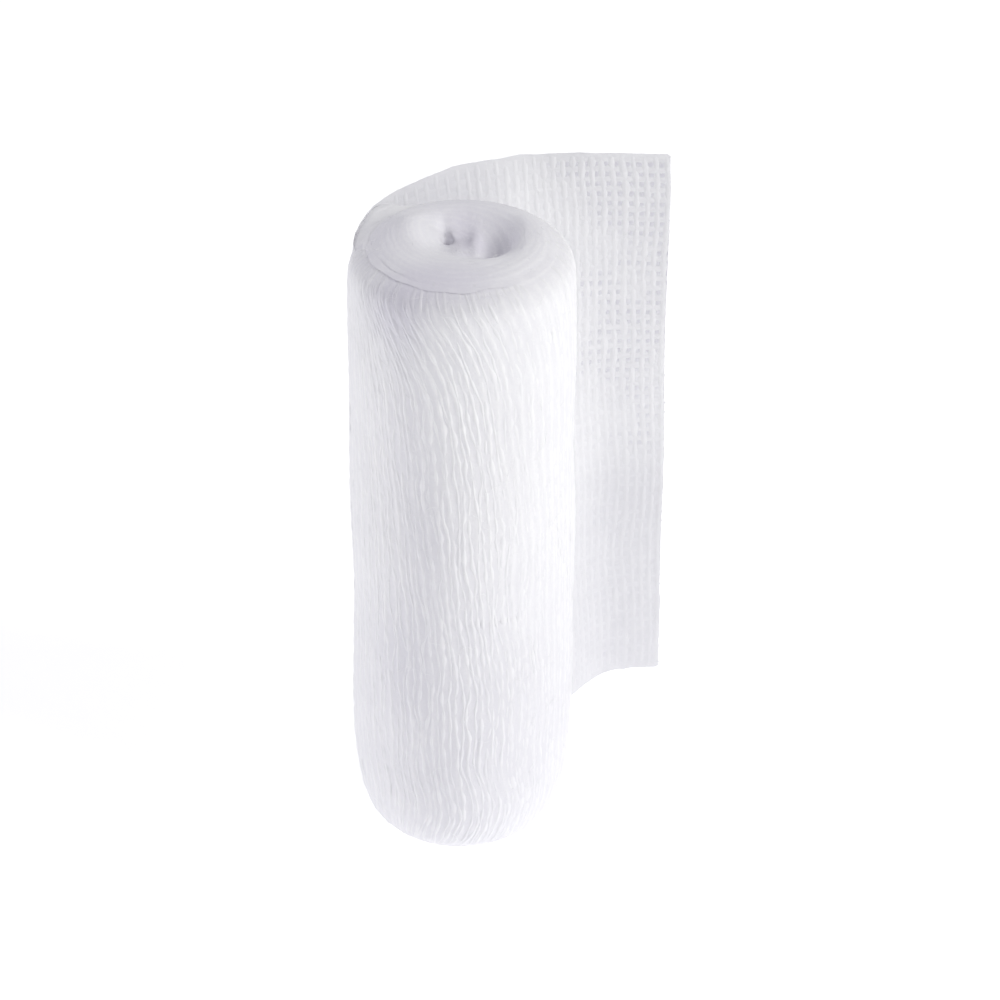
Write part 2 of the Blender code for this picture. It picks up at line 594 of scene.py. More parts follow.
@dataclass
class Nodes:
    """A material's nodes, with short calls to add and join them."""

    material: Material

    @classmethod
    def new(cls, name: str) -> "Nodes":
        """Starts a material that has only its shader and output."""
        material = bpy.data.materials.new(name)
        material.use_nodes = True
        return cls(material)

    @property
    def shader(self) -> bpy.types.Node:
        """The Principled shader."""
        return self.material.node_tree.nodes["Principled BSDF"]

    def add(self, kind: str, **settings: object) -> bpy.types.Node:
        """Adds a node.

        Args:
            kind: The node's type name.
            settings: Its properties.

        Returns:
            The node.
        """
        node = self.material.node_tree.nodes.new(kind)
        for name, value in settings.items():
            setattr(node, name, value)
        return node

    def join(self, source: Socket, target: Socket) -> None:
        """Links two sockets."""
        self.material.node_tree.links.new(source, target)

    def place(self) -> Socket:
        """The point on the object, in metres."""
        return self.add("ShaderNodeTexCoord").outputs["Object"]

    def axis(self, source: Socket, name: str) -> Socket:
        """One of a point's coordinates."""
        parts = self.add("ShaderNodeSeparateXYZ")
        self.join(source, parts.inputs[0])
        return parts.outputs[name]

    def off_yarn(self, axis: str) -> Socket:
        """0 on the middle line of the yarns of one way and 1 halfway between them."""
        node = self.add("ShaderNodeUVMap", uv_map=WEAVE_MAP)
        turns = self.maths("MULTIPLY", self.axis(node.outputs["UV"], axis), math.pi)
        return self.maths("ABSOLUTE", self.maths("SINE", turns))

    def stretched(self, source: Socket, scale: tuple) -> Socket:
        """The point with each of its axes scaled."""
        node = self.add("ShaderNodeMapping")
        node.inputs["Scale"].default_value = scale
        self.join(source, node.inputs["Vector"])
        return node.outputs["Vector"]

    def noise(self, source: Socket, scale: float, detail: float, rough: float = 0.5) -> Socket:
        """A noise pattern of a scale per metre."""
        node = self.add("ShaderNodeTexNoise")
        node.inputs["Scale"].default_value = scale
        node.inputs["Detail"].default_value = detail
        node.inputs["Roughness"].default_value = rough
        self.join(source, node.inputs["Vector"])
        return node.outputs["Fac"]

    def maths(self, operation: str, first: Socket | float, second: Socket | float = 0.0) -> Socket:
        """One step of arithmetic on sockets or numbers."""
        node = self.add("ShaderNodeMath", operation=operation)
        for socket, value in zip(node.inputs, (first, second)):
            if isinstance(value, (int, float)):
                socket.default_value = value
            else:
                self.join(value, socket)
        return node.outputs[0]

    def blend_of(self, *patterns: tuple[Socket, float]) -> Socket:
        """The sum of patterns, each times its weight."""
        total, *others = [self.maths("MULTIPLY", pattern, weight) for pattern, weight in patterns]
        for other in others:
            total = self.maths("ADD", total, other)
        return total

    def spread(
        self, source: Socket, low: float, high: float, to_low: float, to_high: float
    ) -> Socket:
        """The value moved from one range to another, softly and within its ends."""
        node = self.add("ShaderNodeMapRange", interpolation_type="SMOOTHSTEP")
        for name, value in (
            ("From Min", low), ("From Max", high), ("To Min", to_low), ("To Max", to_high)
        ):
            node.inputs[name].default_value = value
        self.join(source, node.inputs["Value"])
        return node.outputs["Result"]

    def between(
        self,
        share: Socket,
        first: Colour | Socket,
        second: Colour | Socket,
        kind: str = "MIX",
    ) -> Socket:
        """A colour between two, or the first one changed by the second, by a share."""
        node = self.add("ShaderNodeMix", data_type="RGBA", blend_type=kind)
        colours = [socket for socket in node.inputs if socket.type == "RGBA"]
        for socket, value in zip(colours, (first, second)):
            if isinstance(value, tuple):
                socket.default_value = (*value, 1.0)
            else:
                self.join(value, socket)
        self.join(share, node.inputs[0])
        return next(socket for socket in node.outputs if socket.type == "RGBA")

    def shaded_by_spots(self, colour: Socket, *kinds: ShadeSpots) -> Socket:
        """A colour with soft spots of painted shade and darkening on it.

        Args:
            colour: The clean colour.
            kinds: The spots, one kind for each tint.

        Returns:
            The darkened colour.
        """
        spot_core, spot_rim = 0.1, 1.4
        for kind in kinds:
            total: Socket | float = 0.0
            for *where, strength in kind.rows:
                centre, reach = np.array(where[:3]) * MM, np.array(where[3:]) * MM
                node = self.add("ShaderNodeMapping")
                node.inputs["Scale"].default_value = tuple(1 / reach)
                node.inputs["Location"].default_value = tuple(-centre / reach)
                self.join(self.place(), node.inputs["Vector"])
                away = self.add("ShaderNodeVectorMath", operation="LENGTH")
                self.join(node.outputs["Vector"], away.inputs[0])
                spot = self.spread(away.outputs["Value"], spot_core, spot_rim, strength, 0.0)
                total = self.maths("ADD", spot, total)
            share = self.maths("MINIMUM", total, 1.0)
            colour = self.between(share, colour, kind.tint, "MULTIPLY")
        return colour

    def cloth(self, colour: Socket, rough: Socket, shine: float, sheen: float) -> None:
        """Gives the shader a matt cloth's colour, roughness, shine and sheen."""
        inputs = self.shader.inputs
        self.join(colour, inputs["Base Color"])
        self.join(rough, inputs["Roughness"])
        inputs["Specular IOR Level"].default_value = shine
        inputs["Sheen Weight"].default_value = sheen

    def bump(self, height: Socket, distance: float, strength: float) -> None:
        """Gives the shader a bump."""
        node = self.add("ShaderNodeBump")
        node.inputs["Strength"].default_value = strength
        node.inputs["Distance"].default_value = distance
        self.join(height, node.inputs["Height"])
        self.join(node.outputs["Normal"], self.shader.inputs["Normal"])


@dataclass(frozen=True)
class YarnFinish:
    """Bleached soft-spun cotton yarn.

    Attributes:
        name: The material's name.
        light: Its colour where the yarn is full.
        shade: Its colour where the yarn is thin and the turns below show through.
        grain: The way that its fibres run.
        fibre_scale: Fibres per metre, for the fine bump.
        fibre_depth: The bump's depth in metres.
        sheen: The soft light along its edges.
        roughness: How matt it is.
        slub_scale: Thick and thin places per metre.
        cloud_scale: Large soft patches per metre.
        mottle_scale: Small soft patches per metre.
        shade_spots: Its soft spots of painted shade and darkening.
    """

    name: str
    light: Colour
    shade: Colour
    grain: Grain
    fibre_scale: float = 3000.0
    fibre_depth: float = 0.05 * MM
    sheen: float = 0.25
    roughness: float = 0.95
    slub_scale: float = 700.0
    cloud_scale: float = 95.0
    mottle_scale: float = 380.0
    shade_spots: tuple[ShadeSpots, ...] = ()

    def make(self) -> Material:
        """Builds the material."""
        nodes = Nodes.new(self.name)
        place = nodes.place()
        grain = self.grain.value
        fibres = nodes.noise(nodes.stretched(place, grain), self.fibre_scale, 3.0, 0.6)
        slubs = nodes.noise(nodes.stretched(place, grain), self.slub_scale, 2.0)
        clouds = nodes.noise(place, self.cloud_scale, 3.0)
        mottle = nodes.noise(place, self.mottle_scale, 2.0)
        mixed = nodes.blend_of((slubs, 0.35), (clouds, 0.30), (mottle, 0.35))
        share = nodes.spread(mixed, 0.40, 0.62, 0.0, 1.0)
        colour = nodes.shaded_by_spots(nodes.between(share, self.light, self.shade), *self.shade_spots)
        smoothest, roughest = self.roughness - 0.12, min(self.roughness + 0.04, 1)
        rough = nodes.spread(fibres, *NOISE_RANGE, smoothest, roughest)
        nodes.cloth(colour, rough, shine=0.15, sheen=self.sheen)
        nodes.shader.inputs["Sheen Roughness"].default_value = 0.6
        nodes.bump(fibres, self.fibre_depth, 0.6)
        return nodes.material


@dataclass(frozen=True)
class WoundFinish:
    """The cloth of the wound turns, with painted light and shade: white on the side, a lighter and
    bluer copy on the upper end for how it is lit, and darker between the yarns and the turns' edges.

    Attributes:
        name: The material's name.
        light: The side's colour on its yarns.
        shade: The side's colour between them, painted darker as shade between the yarns.
        end_light: The upper end's colour on the turns' edges, painted lighter and bluer than the
            side's for how the end is lit.
        end_shade: Its colour between them, painted darker as shade between the edges.
        end_from: The height where the end's colours set in.
        end_to: The height above which they are full.
        ragged: How far the border between the two wanders up and down.
        fuzz_scale: Fine fuzz per metre.
        streak_scale: Streaks along the yarns per metre.
        cloud_scale: Large soft patches per metre.
        shade_spots: Its soft spots of painted shade and darkening.
    """

    name: str = "wound_cloth"
    light: Colour = (0.915, 0.913, 0.925)
    shade: Colour = (0.855, 0.852, 0.875)
    end_light: Colour = (0.952, 0.947, 0.965)
    end_shade: Colour = (0.912, 0.906, 0.937)
    end_from: float = 103.8 * MM
    end_to: float = 106.6 * MM
    ragged: float = 2.0 * MM
    fuzz_scale: float = 2100.0
    streak_scale: float = 1300.0
    cloud_scale: float = 110.0
    shade_spots: tuple[ShadeSpots, ...] = ()

    def make(self) -> Material:
        """Builds the material."""
        nodes = Nodes.new(self.name)
        place = nodes.place()
        fuzz = nodes.noise(place, self.fuzz_scale, 3.0, 0.6)
        streaks = nodes.noise(nodes.stretched(place, Grain.UP.value), self.streak_scale, 2.0)
        clouds = nodes.noise(place, self.cloud_scale, 2.0)
        height = nodes.blend_of((fuzz, 0.5), (streaks, 0.5))
        # Painted shade: the cloth is darker halfway between the up yarns, and on the upper end
        # between the turns' edges.
        shade_between_yarns = nodes.maths("MULTIPLY", nodes.off_yarn("X"), 0.30)
        tone = nodes.maths("ADD", nodes.maths("MULTIPLY", clouds, 0.45), height)
        share = nodes.spread(nodes.maths("SUBTRACT", tone, shade_between_yarns), 0.35, 0.85, 0.0, 1.0)
        wandering = nodes.maths("MULTIPLY", clouds, self.ragged)
        above = nodes.maths("ADD", nodes.axis(place, "Z"), wandering)
        middle = self.ragged / 2
        # Painted light: the upper end takes a lighter, bluer copy of the colours, for how it is lit.
        on_end = nodes.spread(above, self.end_from + middle, self.end_to + middle, 0.0, 1.0)
        light = nodes.between(on_end, self.light, self.end_light)
        shade = nodes.between(on_end, self.shade, self.end_shade)
        colour = nodes.shaded_by_spots(nodes.between(share, shade, light), *self.shade_spots)
        rough = nodes.spread(fuzz, *NOISE_RANGE, *MATT_RANGE)
        nodes.cloth(colour, rough, shine=0.1, sheen=0.15)
        nodes.bump(height, 0.14 * MM, 0.6)
        return nodes.material


@dataclass(frozen=True)
class VeilFinish:
    """The fine fuzz that hangs between the yarns of the open weave, half seen through.

    The weave stands more open in patches, most of them towards the cut edge.

    Attributes:
        name: The material's name.
        light: Its colour where the fuzz is full.
        shade: Its colour where it is thin, in the holes: painted shade, a dark lavender as of shade
            seen through them.
        least: Its cover where it is thinnest.
        most: Its cover where it is fullest.
        closed_left_of: The place from side to side left of which the weave is closest.
        open_right_of: The place right of which it is most open.
        closed_below: The height below which it is closest.
        open_above: The height above which it is most open.
        fuzz_scale: Fine fuzz per metre.
        patch_scale: Open patches per metre.
        shade_spots: Its soft spots of painted shade and darkening.
    """

    name: str
    light: Colour
    shade: Colour
    least: float
    most: float
    closed_left_of: float = -8.0 * MM
    open_right_of: float = 31.0 * MM
    closed_below: float = 35.0 * MM
    open_above: float = 80.0 * MM
    fuzz_scale: float = 1300.0
    patch_scale: float = 95.0
    shade_spots: tuple[ShadeSpots, ...] = ()

    def make(self) -> Material:
        """Builds the material."""
        nodes = Nodes.new(self.name)
        place = nodes.place()
        fuzz = nodes.noise(place, self.fuzz_scale, 3.0, 0.6)
        patches = nodes.noise(place, self.patch_scale, 2.0)
        cells = nodes.maths("MULTIPLY", nodes.off_yarn("X"), nodes.off_yarn("Y"))
        cells = nodes.spread(cells, 0.34, 1.0, 0.0, 1.0)
        rightward = nodes.spread(
            nodes.axis(place, "X"), self.closed_left_of, self.open_right_of, -0.25, 0.19
        )
        upward = nodes.spread(
            nodes.axis(place, "Z"), self.closed_below, self.open_above, -0.17, 0.05
        )
        patches = nodes.maths("ADD", nodes.maths("ADD", patches, upward), rightward)
        open_here = nodes.spread(patches, 0.60, 0.78, 0.03, 1.0)
        hole = nodes.maths("MULTIPLY", cells, open_here)
        hole = nodes.maths("MULTIPLY", hole, nodes.spread(fuzz, 0.30, 0.55, 0.6, 1.0))
        # Painted shade: the holes take the dark lavender shade colour, as of shade seen through
        # them.
        colour = nodes.shaded_by_spots(nodes.between(hole, self.light, self.shade), *self.shade_spots)
        nodes.cloth(colour, nodes.spread(fuzz, *NOISE_RANGE, *MATT_RANGE), shine=0.1, sheen=0.0)
        cover = nodes.spread(hole, 0.0, 1.0, self.most, self.least)
        nodes.join(cover, nodes.shader.inputs["Alpha"])
        nodes.bump(nodes.maths("SUBTRACT", fuzz, hole), 0.1 * MM, 0.5)
        return nodes.material


@dataclass(frozen=True)
class FloorFinish:
    """A plain pale studio floor, which glows a little round the roll.

    Attributes:
        name: The material's name.
        colour: Its colour.
        glow: Its own light near the roll.
        far_glow: Its own light far from it.
        near: The distance within which the near light holds.
        far: The distance beyond which the far light holds.
    """

    name: str = "pale_floor"
    colour: Colour = (0.93, 0.93, 0.935)
    glow: float = 0.49
    far_glow: float = 0.12
    near: float = 0.24
    far: float = 0.60

    def make(self) -> Material:
        """Builds the material."""
        nodes = Nodes.new(self.name)
        shader = nodes.shader
        shader.inputs["Base Color"].default_value = (*self.colour, 1.0)
        shader.inputs["Roughness"].default_value = 1.0
        shader.inputs["Specular IOR Level"].default_value = 0.0
        shader.inputs["Emission Color"].default_value = (1.0, 1.0, 1.0, 1.0)
        away = nodes.add("ShaderNodeVectorMath", operation="LENGTH")
        nodes.join(nodes.place(), away.inputs[0])
        glow = nodes.spread(away.outputs["Value"], self.near, self.far, self.glow, self.far_glow)
        nodes.join(glow, shader.inputs["Emission Strength"])
        return nodes.material


SHADE_ON_ROLL = ShadeSpots(ROLL_SHADE_SPOTS, (0.895, 0.89, 0.92))
SHADE_ON_END = ShadeSpots(END_SHADE_SPOTS, (0.865, 0.847, 0.90))
SHADE_ON_LOOSE_END = ShadeSpots(LOOSE_SHADE_SPOTS, (0.74, 0.735, 0.765))

UP_YARN = YarnFinish(
    "up_yarn", (0.93, 0.928, 0.935), (0.885, 0.883, 0.90), Grain.UP, shade_spots=(SHADE_ON_ROLL, SHADE_ON_END)
)
# Painted shade: a slightly darker copy of the up yarn, for the turn that lies below.
UNDER_YARN = YarnFinish(
    "under_yarn", (0.915, 0.913, 0.923), (0.865, 0.862, 0.88), Grain.UP, shade_spots=(SHADE_ON_ROLL, SHADE_ON_END)
)
WOUND_CLOTH = WoundFinish(shade_spots=(SHADE_ON_ROLL, SHADE_ON_END))
# Painted light: a lighter, bluer copy of the yarn for the turns' edges, for how the upper end is
# lit; the foot's edges share it.
END_TURN = YarnFinish(
    "turn_edge",
    (0.945, 0.94, 0.96),
    (0.895, 0.888, 0.92),
    Grain.ANY,
    fibre_scale=2200.0,
    fibre_depth=0.07 * MM,
    shade_spots=(SHADE_ON_END,),
)
# Painted light: lighter still than the turns' edges, for the light band where these edges catch the
# light.
SPREAD_EDGE = YarnFinish(
    "spread_edge",
    (0.965, 0.962, 0.97),
    (0.93, 0.927, 0.94),
    Grain.ANY,
    fibre_scale=2200.0,
    fibre_depth=0.08 * MM,
    shade_spots=(SHADE_ON_END,),
)
LOOSE_UP_YARN = YarnFinish(
    "loose_up_yarn", (0.925, 0.925, 0.935), (0.89, 0.89, 0.905), Grain.UP, shade_spots=(SHADE_ON_LOOSE_END,)
)
LOOSE_ALONG_YARN = YarnFinish(
    "loose_along_yarn",
    (0.915, 0.915, 0.928),
    (0.885, 0.885, 0.902),
    Grain.ROUND,
    shade_spots=(SHADE_ON_LOOSE_END,),
)
# Painted light: lighter than the yarns, so that the fibres' own shade shows less.
FIBRE = YarnFinish("stray_fibre", (0.97, 0.97, 0.975), (0.95, 0.95, 0.96), Grain.ANY, sheen=0.3)
# Its shade colour is painted shade for the holes.
VEIL = VeilFinish(
    "gauze_veil",
    (0.906, 0.906, 0.92),
    (0.70, 0.69, 0.75),
    least=0.89,
    most=0.98,
    shade_spots=(SHADE_ON_LOOSE_END,),
)


# --- The roll's form ---


@dataclass
class RollForm:
    """The wound form that the yarns lie on. Stations run along its section from the foot's edge.

    Attributes:
        turn_step: How far the outer turn stands off the one below it.
        lean_shift: How far the foot stands to one side.
        lean_below: The height below which it leans.
        oval: How far it is out of round, from side to side.
        lump: The depth of its low lumps.
        lumps_round: How many lumps go round.
        lump_rise: The height in which a lump moves on by one radian.
        step_rise: The share of a turn in which the outer turn's step sets in.
        lean_power: How suddenly it leans.
        readings: How many stations the section is read at.
        dents: Its soft dents.
    """

    turn_step: float = 0.6 * MM
    lean_shift: float = -0.6 * MM
    lean_below: float = 40.0 * MM
    oval: float = 0.12 * MM
    lump: float = 0.10 * MM
    lumps_round: int = 3
    lump_rise: float = 9.0 * MM
    step_rise: Ramp = Ramp(0.016, 0.034)
    lean_power: float = 1.5
    readings: int = 1500
    dents: Ripples = Ripples(0.11 * MM, 5, 26.0 * MM, 11)

    def __post_init__(self) -> None:
        """Reads the section at close stations."""
        table = np.array(ROLL_SECTION)
        reach = np.linalg.norm(np.diff(table[:, :2], axis=0), axis=1)
        stations = np.concatenate([[0.0], np.cumsum(reach)])
        at = np.linspace(0.0, stations[-1], self.readings)
        rows = curve_through(stations, table, at)
        self.station = at * MM
        self.radius = rows[:, 0] * MM
        self.height = np.maximum(rows[:, 1], 0.0) * MM
        self.share = np.clip(rows[:, 2], 0.0, 1.0)
        slope = unit(np.stack([np.gradient(self.radius), np.gradient(self.height)], axis=-1))
        self.rise_r, self.rise_z = slope[:, 0], slope[:, 1]
        self.crest = int(np.argmax(self.height))

    def station_at_radius(self, radius: float, upper: bool) -> float:
        """The station on the upper or the lower end where the section has a radius."""
        side = self.height > STRIP_WIDTH / 2
        pick = np.flatnonzero(side if upper else ~side)
        if upper:
            pick = pick[pick <= self.crest]
        return float(self.station[pick[np.argmin(np.abs(self.radius[pick] - radius))]])

    def stations_at_radii(self, radii: Array) -> Array:
        """The stations on the upper end, outside its crest, where the section has radii."""
        pick = np.flatnonzero(self.height[: self.crest + 1] > STRIP_WIDTH)
        return np.interp(-radii, -self.radius[pick], self.station[pick])

    def read(self, station: Array, column: Array) -> Array:
        """A column of the section at stations."""
        return np.interp(station, self.station, column)

    def out_of_round(self, height: Array, turn: Array) -> Array:
        """How far the solid's side stands out of round."""
        angle = TAU * turn
        lumps = self.lump * np.sin(self.lumps_round * angle + height / self.lump_rise)
        return lumps - self.oval * np.cos(2 * angle)

    def lean(self, height: Array) -> Array:
        """How far the lower end stands to one side."""
        return self.lean_shift * np.maximum(0.0, 1 - height / self.lean_below) ** self.lean_power

    def point(self, station: Array, turn: Array, depth: Array) -> tuple[Array, Array]:
        """Points below the roll's surface.

        Args:
            station: Distances along the section.
            turn: Shares of a turn, from 0, where the loose end leaves, clockwise to 1.
            depth: Distances below the surface.

        Returns:
            The points, and the directions that face out of the surface there.
        """
        station, turn, depth = np.broadcast_arrays(station, turn, depth)
        share = self.read(station, self.share)
        rise_r, rise_z = self.read(station, self.rise_r), self.read(station, self.rise_z)
        height = self.read(station, self.height)
        stepped = self.turn_step * share * (1 - turn) * self.step_rise.at(turn)
        radius = self.read(station, self.radius) - stepped
        uneven = self.out_of_round(height, turn) + self.dents.at(turn, height)
        radius = radius + uneven * share
        radius = radius - depth * rise_z
        height = height + depth * rise_r
        angle = math.pi - TAU * turn
        cos_a, sin_a = np.cos(angle), np.sin(angle)
        points = np.stack([radius * cos_a + self.lean(height), radius * sin_a, height], axis=-1)
        out = np.stack([rise_z * cos_a, rise_z * sin_a, -rise_r], axis=-1)
        return points, out

    def solid_side(self, height: Array, turn: Array) -> Array:
        """The radius of the solid's side, which the loose end's course is counted from."""
        side = slice(0, self.crest + 1)
        radius = np.interp(height, self.height[side], self.radius[side])
        share = np.interp(height, self.height[side], self.share[side])
        return radius - SOLID_STEP * share * (1 - turn) + self.out_of_round(height, turn) * share


@dataclass
class LooseForm:
    """The surface of the loose end, by distance along the strip and share of its width.

    Attributes:
        roll: The roll that it leaves.
        free_of_roll: The clearance at which it no longer follows the roll's side.
        hugs_from: The height above which it follows the roll's side.
        hugs_to: The height below which it does.
        rim_hug: How much higher it does so where it starts.
        rim_run: The length in which it straightens up.
        tuck: How far its start dives into the roll.
        tuck_run: The length in which it comes out.
        wave_run: The length that counts as one turn for its waves.
        probe: How far to each side its direction along the strip is read.
        probe_share: The same across the strip, as a share of its width.
        sag: Soft waves of the free cloth.
    """

    roll: RollForm
    free_of_roll: float = 6.0 * MM
    hugs_from: float = 7.5 * MM
    hugs_to: float = 101.0 * MM
    rim_hug: float = 3.3 * MM
    rim_run: float = 12.0 * MM
    tuck: float = 0.34 * MM
    tuck_run: float = 3.2 * MM
    wave_run: float = 140.0 * MM
    probe: float = 0.25 * MM
    probe_share: float = 0.002
    sag: Ripples = Ripples(0.22 * MM, 4, 34.0 * MM, 23)

    def __post_init__(self) -> None:
        """Reads the course at close distances."""
        table = np.array(LOOSE_COURSE)
        courses = table[:, 1:].copy()
        courses[:, (0, 2)] = np.radians(courses[:, (0, 2)])
        courses[:, (1, 3)] *= MM
        self.distance = np.linspace(0.0, LOOSE_LENGTH, 600)
        self.course = curve_through(table[:, 0] * MM, courses, self.distance)

    def place(self, distance: Array, up: Array) -> Array:
        """Points of the cloth's middle surface within its length."""
        upper_angle, upper_gap, lower_angle, lower_gap = (
            np.interp(distance, self.distance, column) for column in self.course.T
        )
        height = LOWER_SELVEDGE + up * STRIP_WIDTH
        angle = lower_angle + (upper_angle - lower_angle) * up
        gap = np.maximum(0.0, lower_gap + (upper_gap - lower_gap) * up)
        turn = (math.pi - angle) / TAU
        straight = smooth_step(gap / self.free_of_roll)
        highest = self.hugs_to + self.rim_hug * (1 - smooth_step(distance / self.rim_run))
        side = self.roll.solid_side(np.clip(height, self.hugs_from, highest), turn)
        free = self.roll.solid_side(np.full_like(height, STRIP_WIDTH / 2), turn)
        radius = side + (free - side) * straight + CLEARANCE + CLOTH_THICKNESS / 2 + gap
        radius = radius - self.tuck * (1 - smooth_step(distance / self.tuck_run))
        radius = radius + self.sag.at(distance / self.wave_run, height) * straight
        shift = self.roll.lean(height) * (1 - straight)
        return np.stack([radius * np.cos(angle) + shift, radius * np.sin(angle), height], axis=-1)

    def point(self, distance: Array, up: Array, lift: Array | float = 0.0) -> tuple[Array, Array]:
        """Points on or off the cloth, which goes on straight beyond its ends.

        Args:
            distance: Distances along the strip.
            up: Shares of its width, from the lower selvedge.
            lift: Distances off the cloth, away from the roll.

        Returns:
            The points, and the directions that face away from the roll there.
        """
        distance, up, lift = np.broadcast_arrays(distance, up, lift)
        inside = np.clip(distance, self.probe, LOOSE_LENGTH - self.probe)
        along = self.place(inside + self.probe, up) - self.place(inside - self.probe, up)
        higher, lower = up + self.probe_share, up - self.probe_share
        rise = self.place(inside, higher) - self.place(inside, lower)
        out = -unit(np.cross(along, rise))
        points = self.place(inside, up) + unit(along) * (distance - inside)[..., None]
        return points + out * lift[..., None], out


# --- The wound strip ---


@dataclass
class Weave:
    """The plain weave of the strip.

    Attributes:
        up_yarns: How many up yarns go once round the roll.
        rows: How many yarns run along the strip.
        loose_pitch: From one up yarn to the next in the loose end.
    """

    up_yarns: int = 62
    rows: int = 55
    loose_pitch: float = 1.64 * MM

    def row_share(self, row: Array) -> Array:
        """Where a row lies across the strip, as a share of its width."""
        return (row + 0.5) / self.rows


@dataclass(frozen=True)
class YarnLayer:
    """One layer of up yarns that shows on the roll's side.

    Attributes:
        name: Its piece's name.
        offset: How far its yarns stand from their places, as a share of their pitch.
        stray: How far each yarn leaves its place, in metres.
        depth: How deep the yarns lie below the surface.
        sink: How far they come up and go down along their way.
        half_width: Half a yarn's width.
        rise: How far it stands up.
        step: The length of its segments.
        seed: The seed of its random numbers.
    """

    name: str
    offset: float
    stray: float
    depth: float
    sink: float
    half_width: float
    rise: float
    step: float
    seed: Seed


OUTER_YARNS = YarnLayer(
    name="outer_turn_up_yarns",
    offset=0.0,
    stray=0.20 * MM,
    depth=0.30 * MM,
    sink=0.04 * MM,
    half_width=0.27 * MM,
    rise=0.07 * MM,
    step=0.5 * MM,
    seed=Seed.OUTER_YARNS,
)
UNDER_YARNS = YarnLayer(
    name="second_turn_up_yarns",
    offset=0.47,
    stray=0.34 * MM,
    depth=0.325 * MM,
    sink=0.04 * MM,
    half_width=0.24 * MM,
    rise=0.06 * MM,
    step=0.8 * MM,
    seed=Seed.UNDER_YARNS,
)


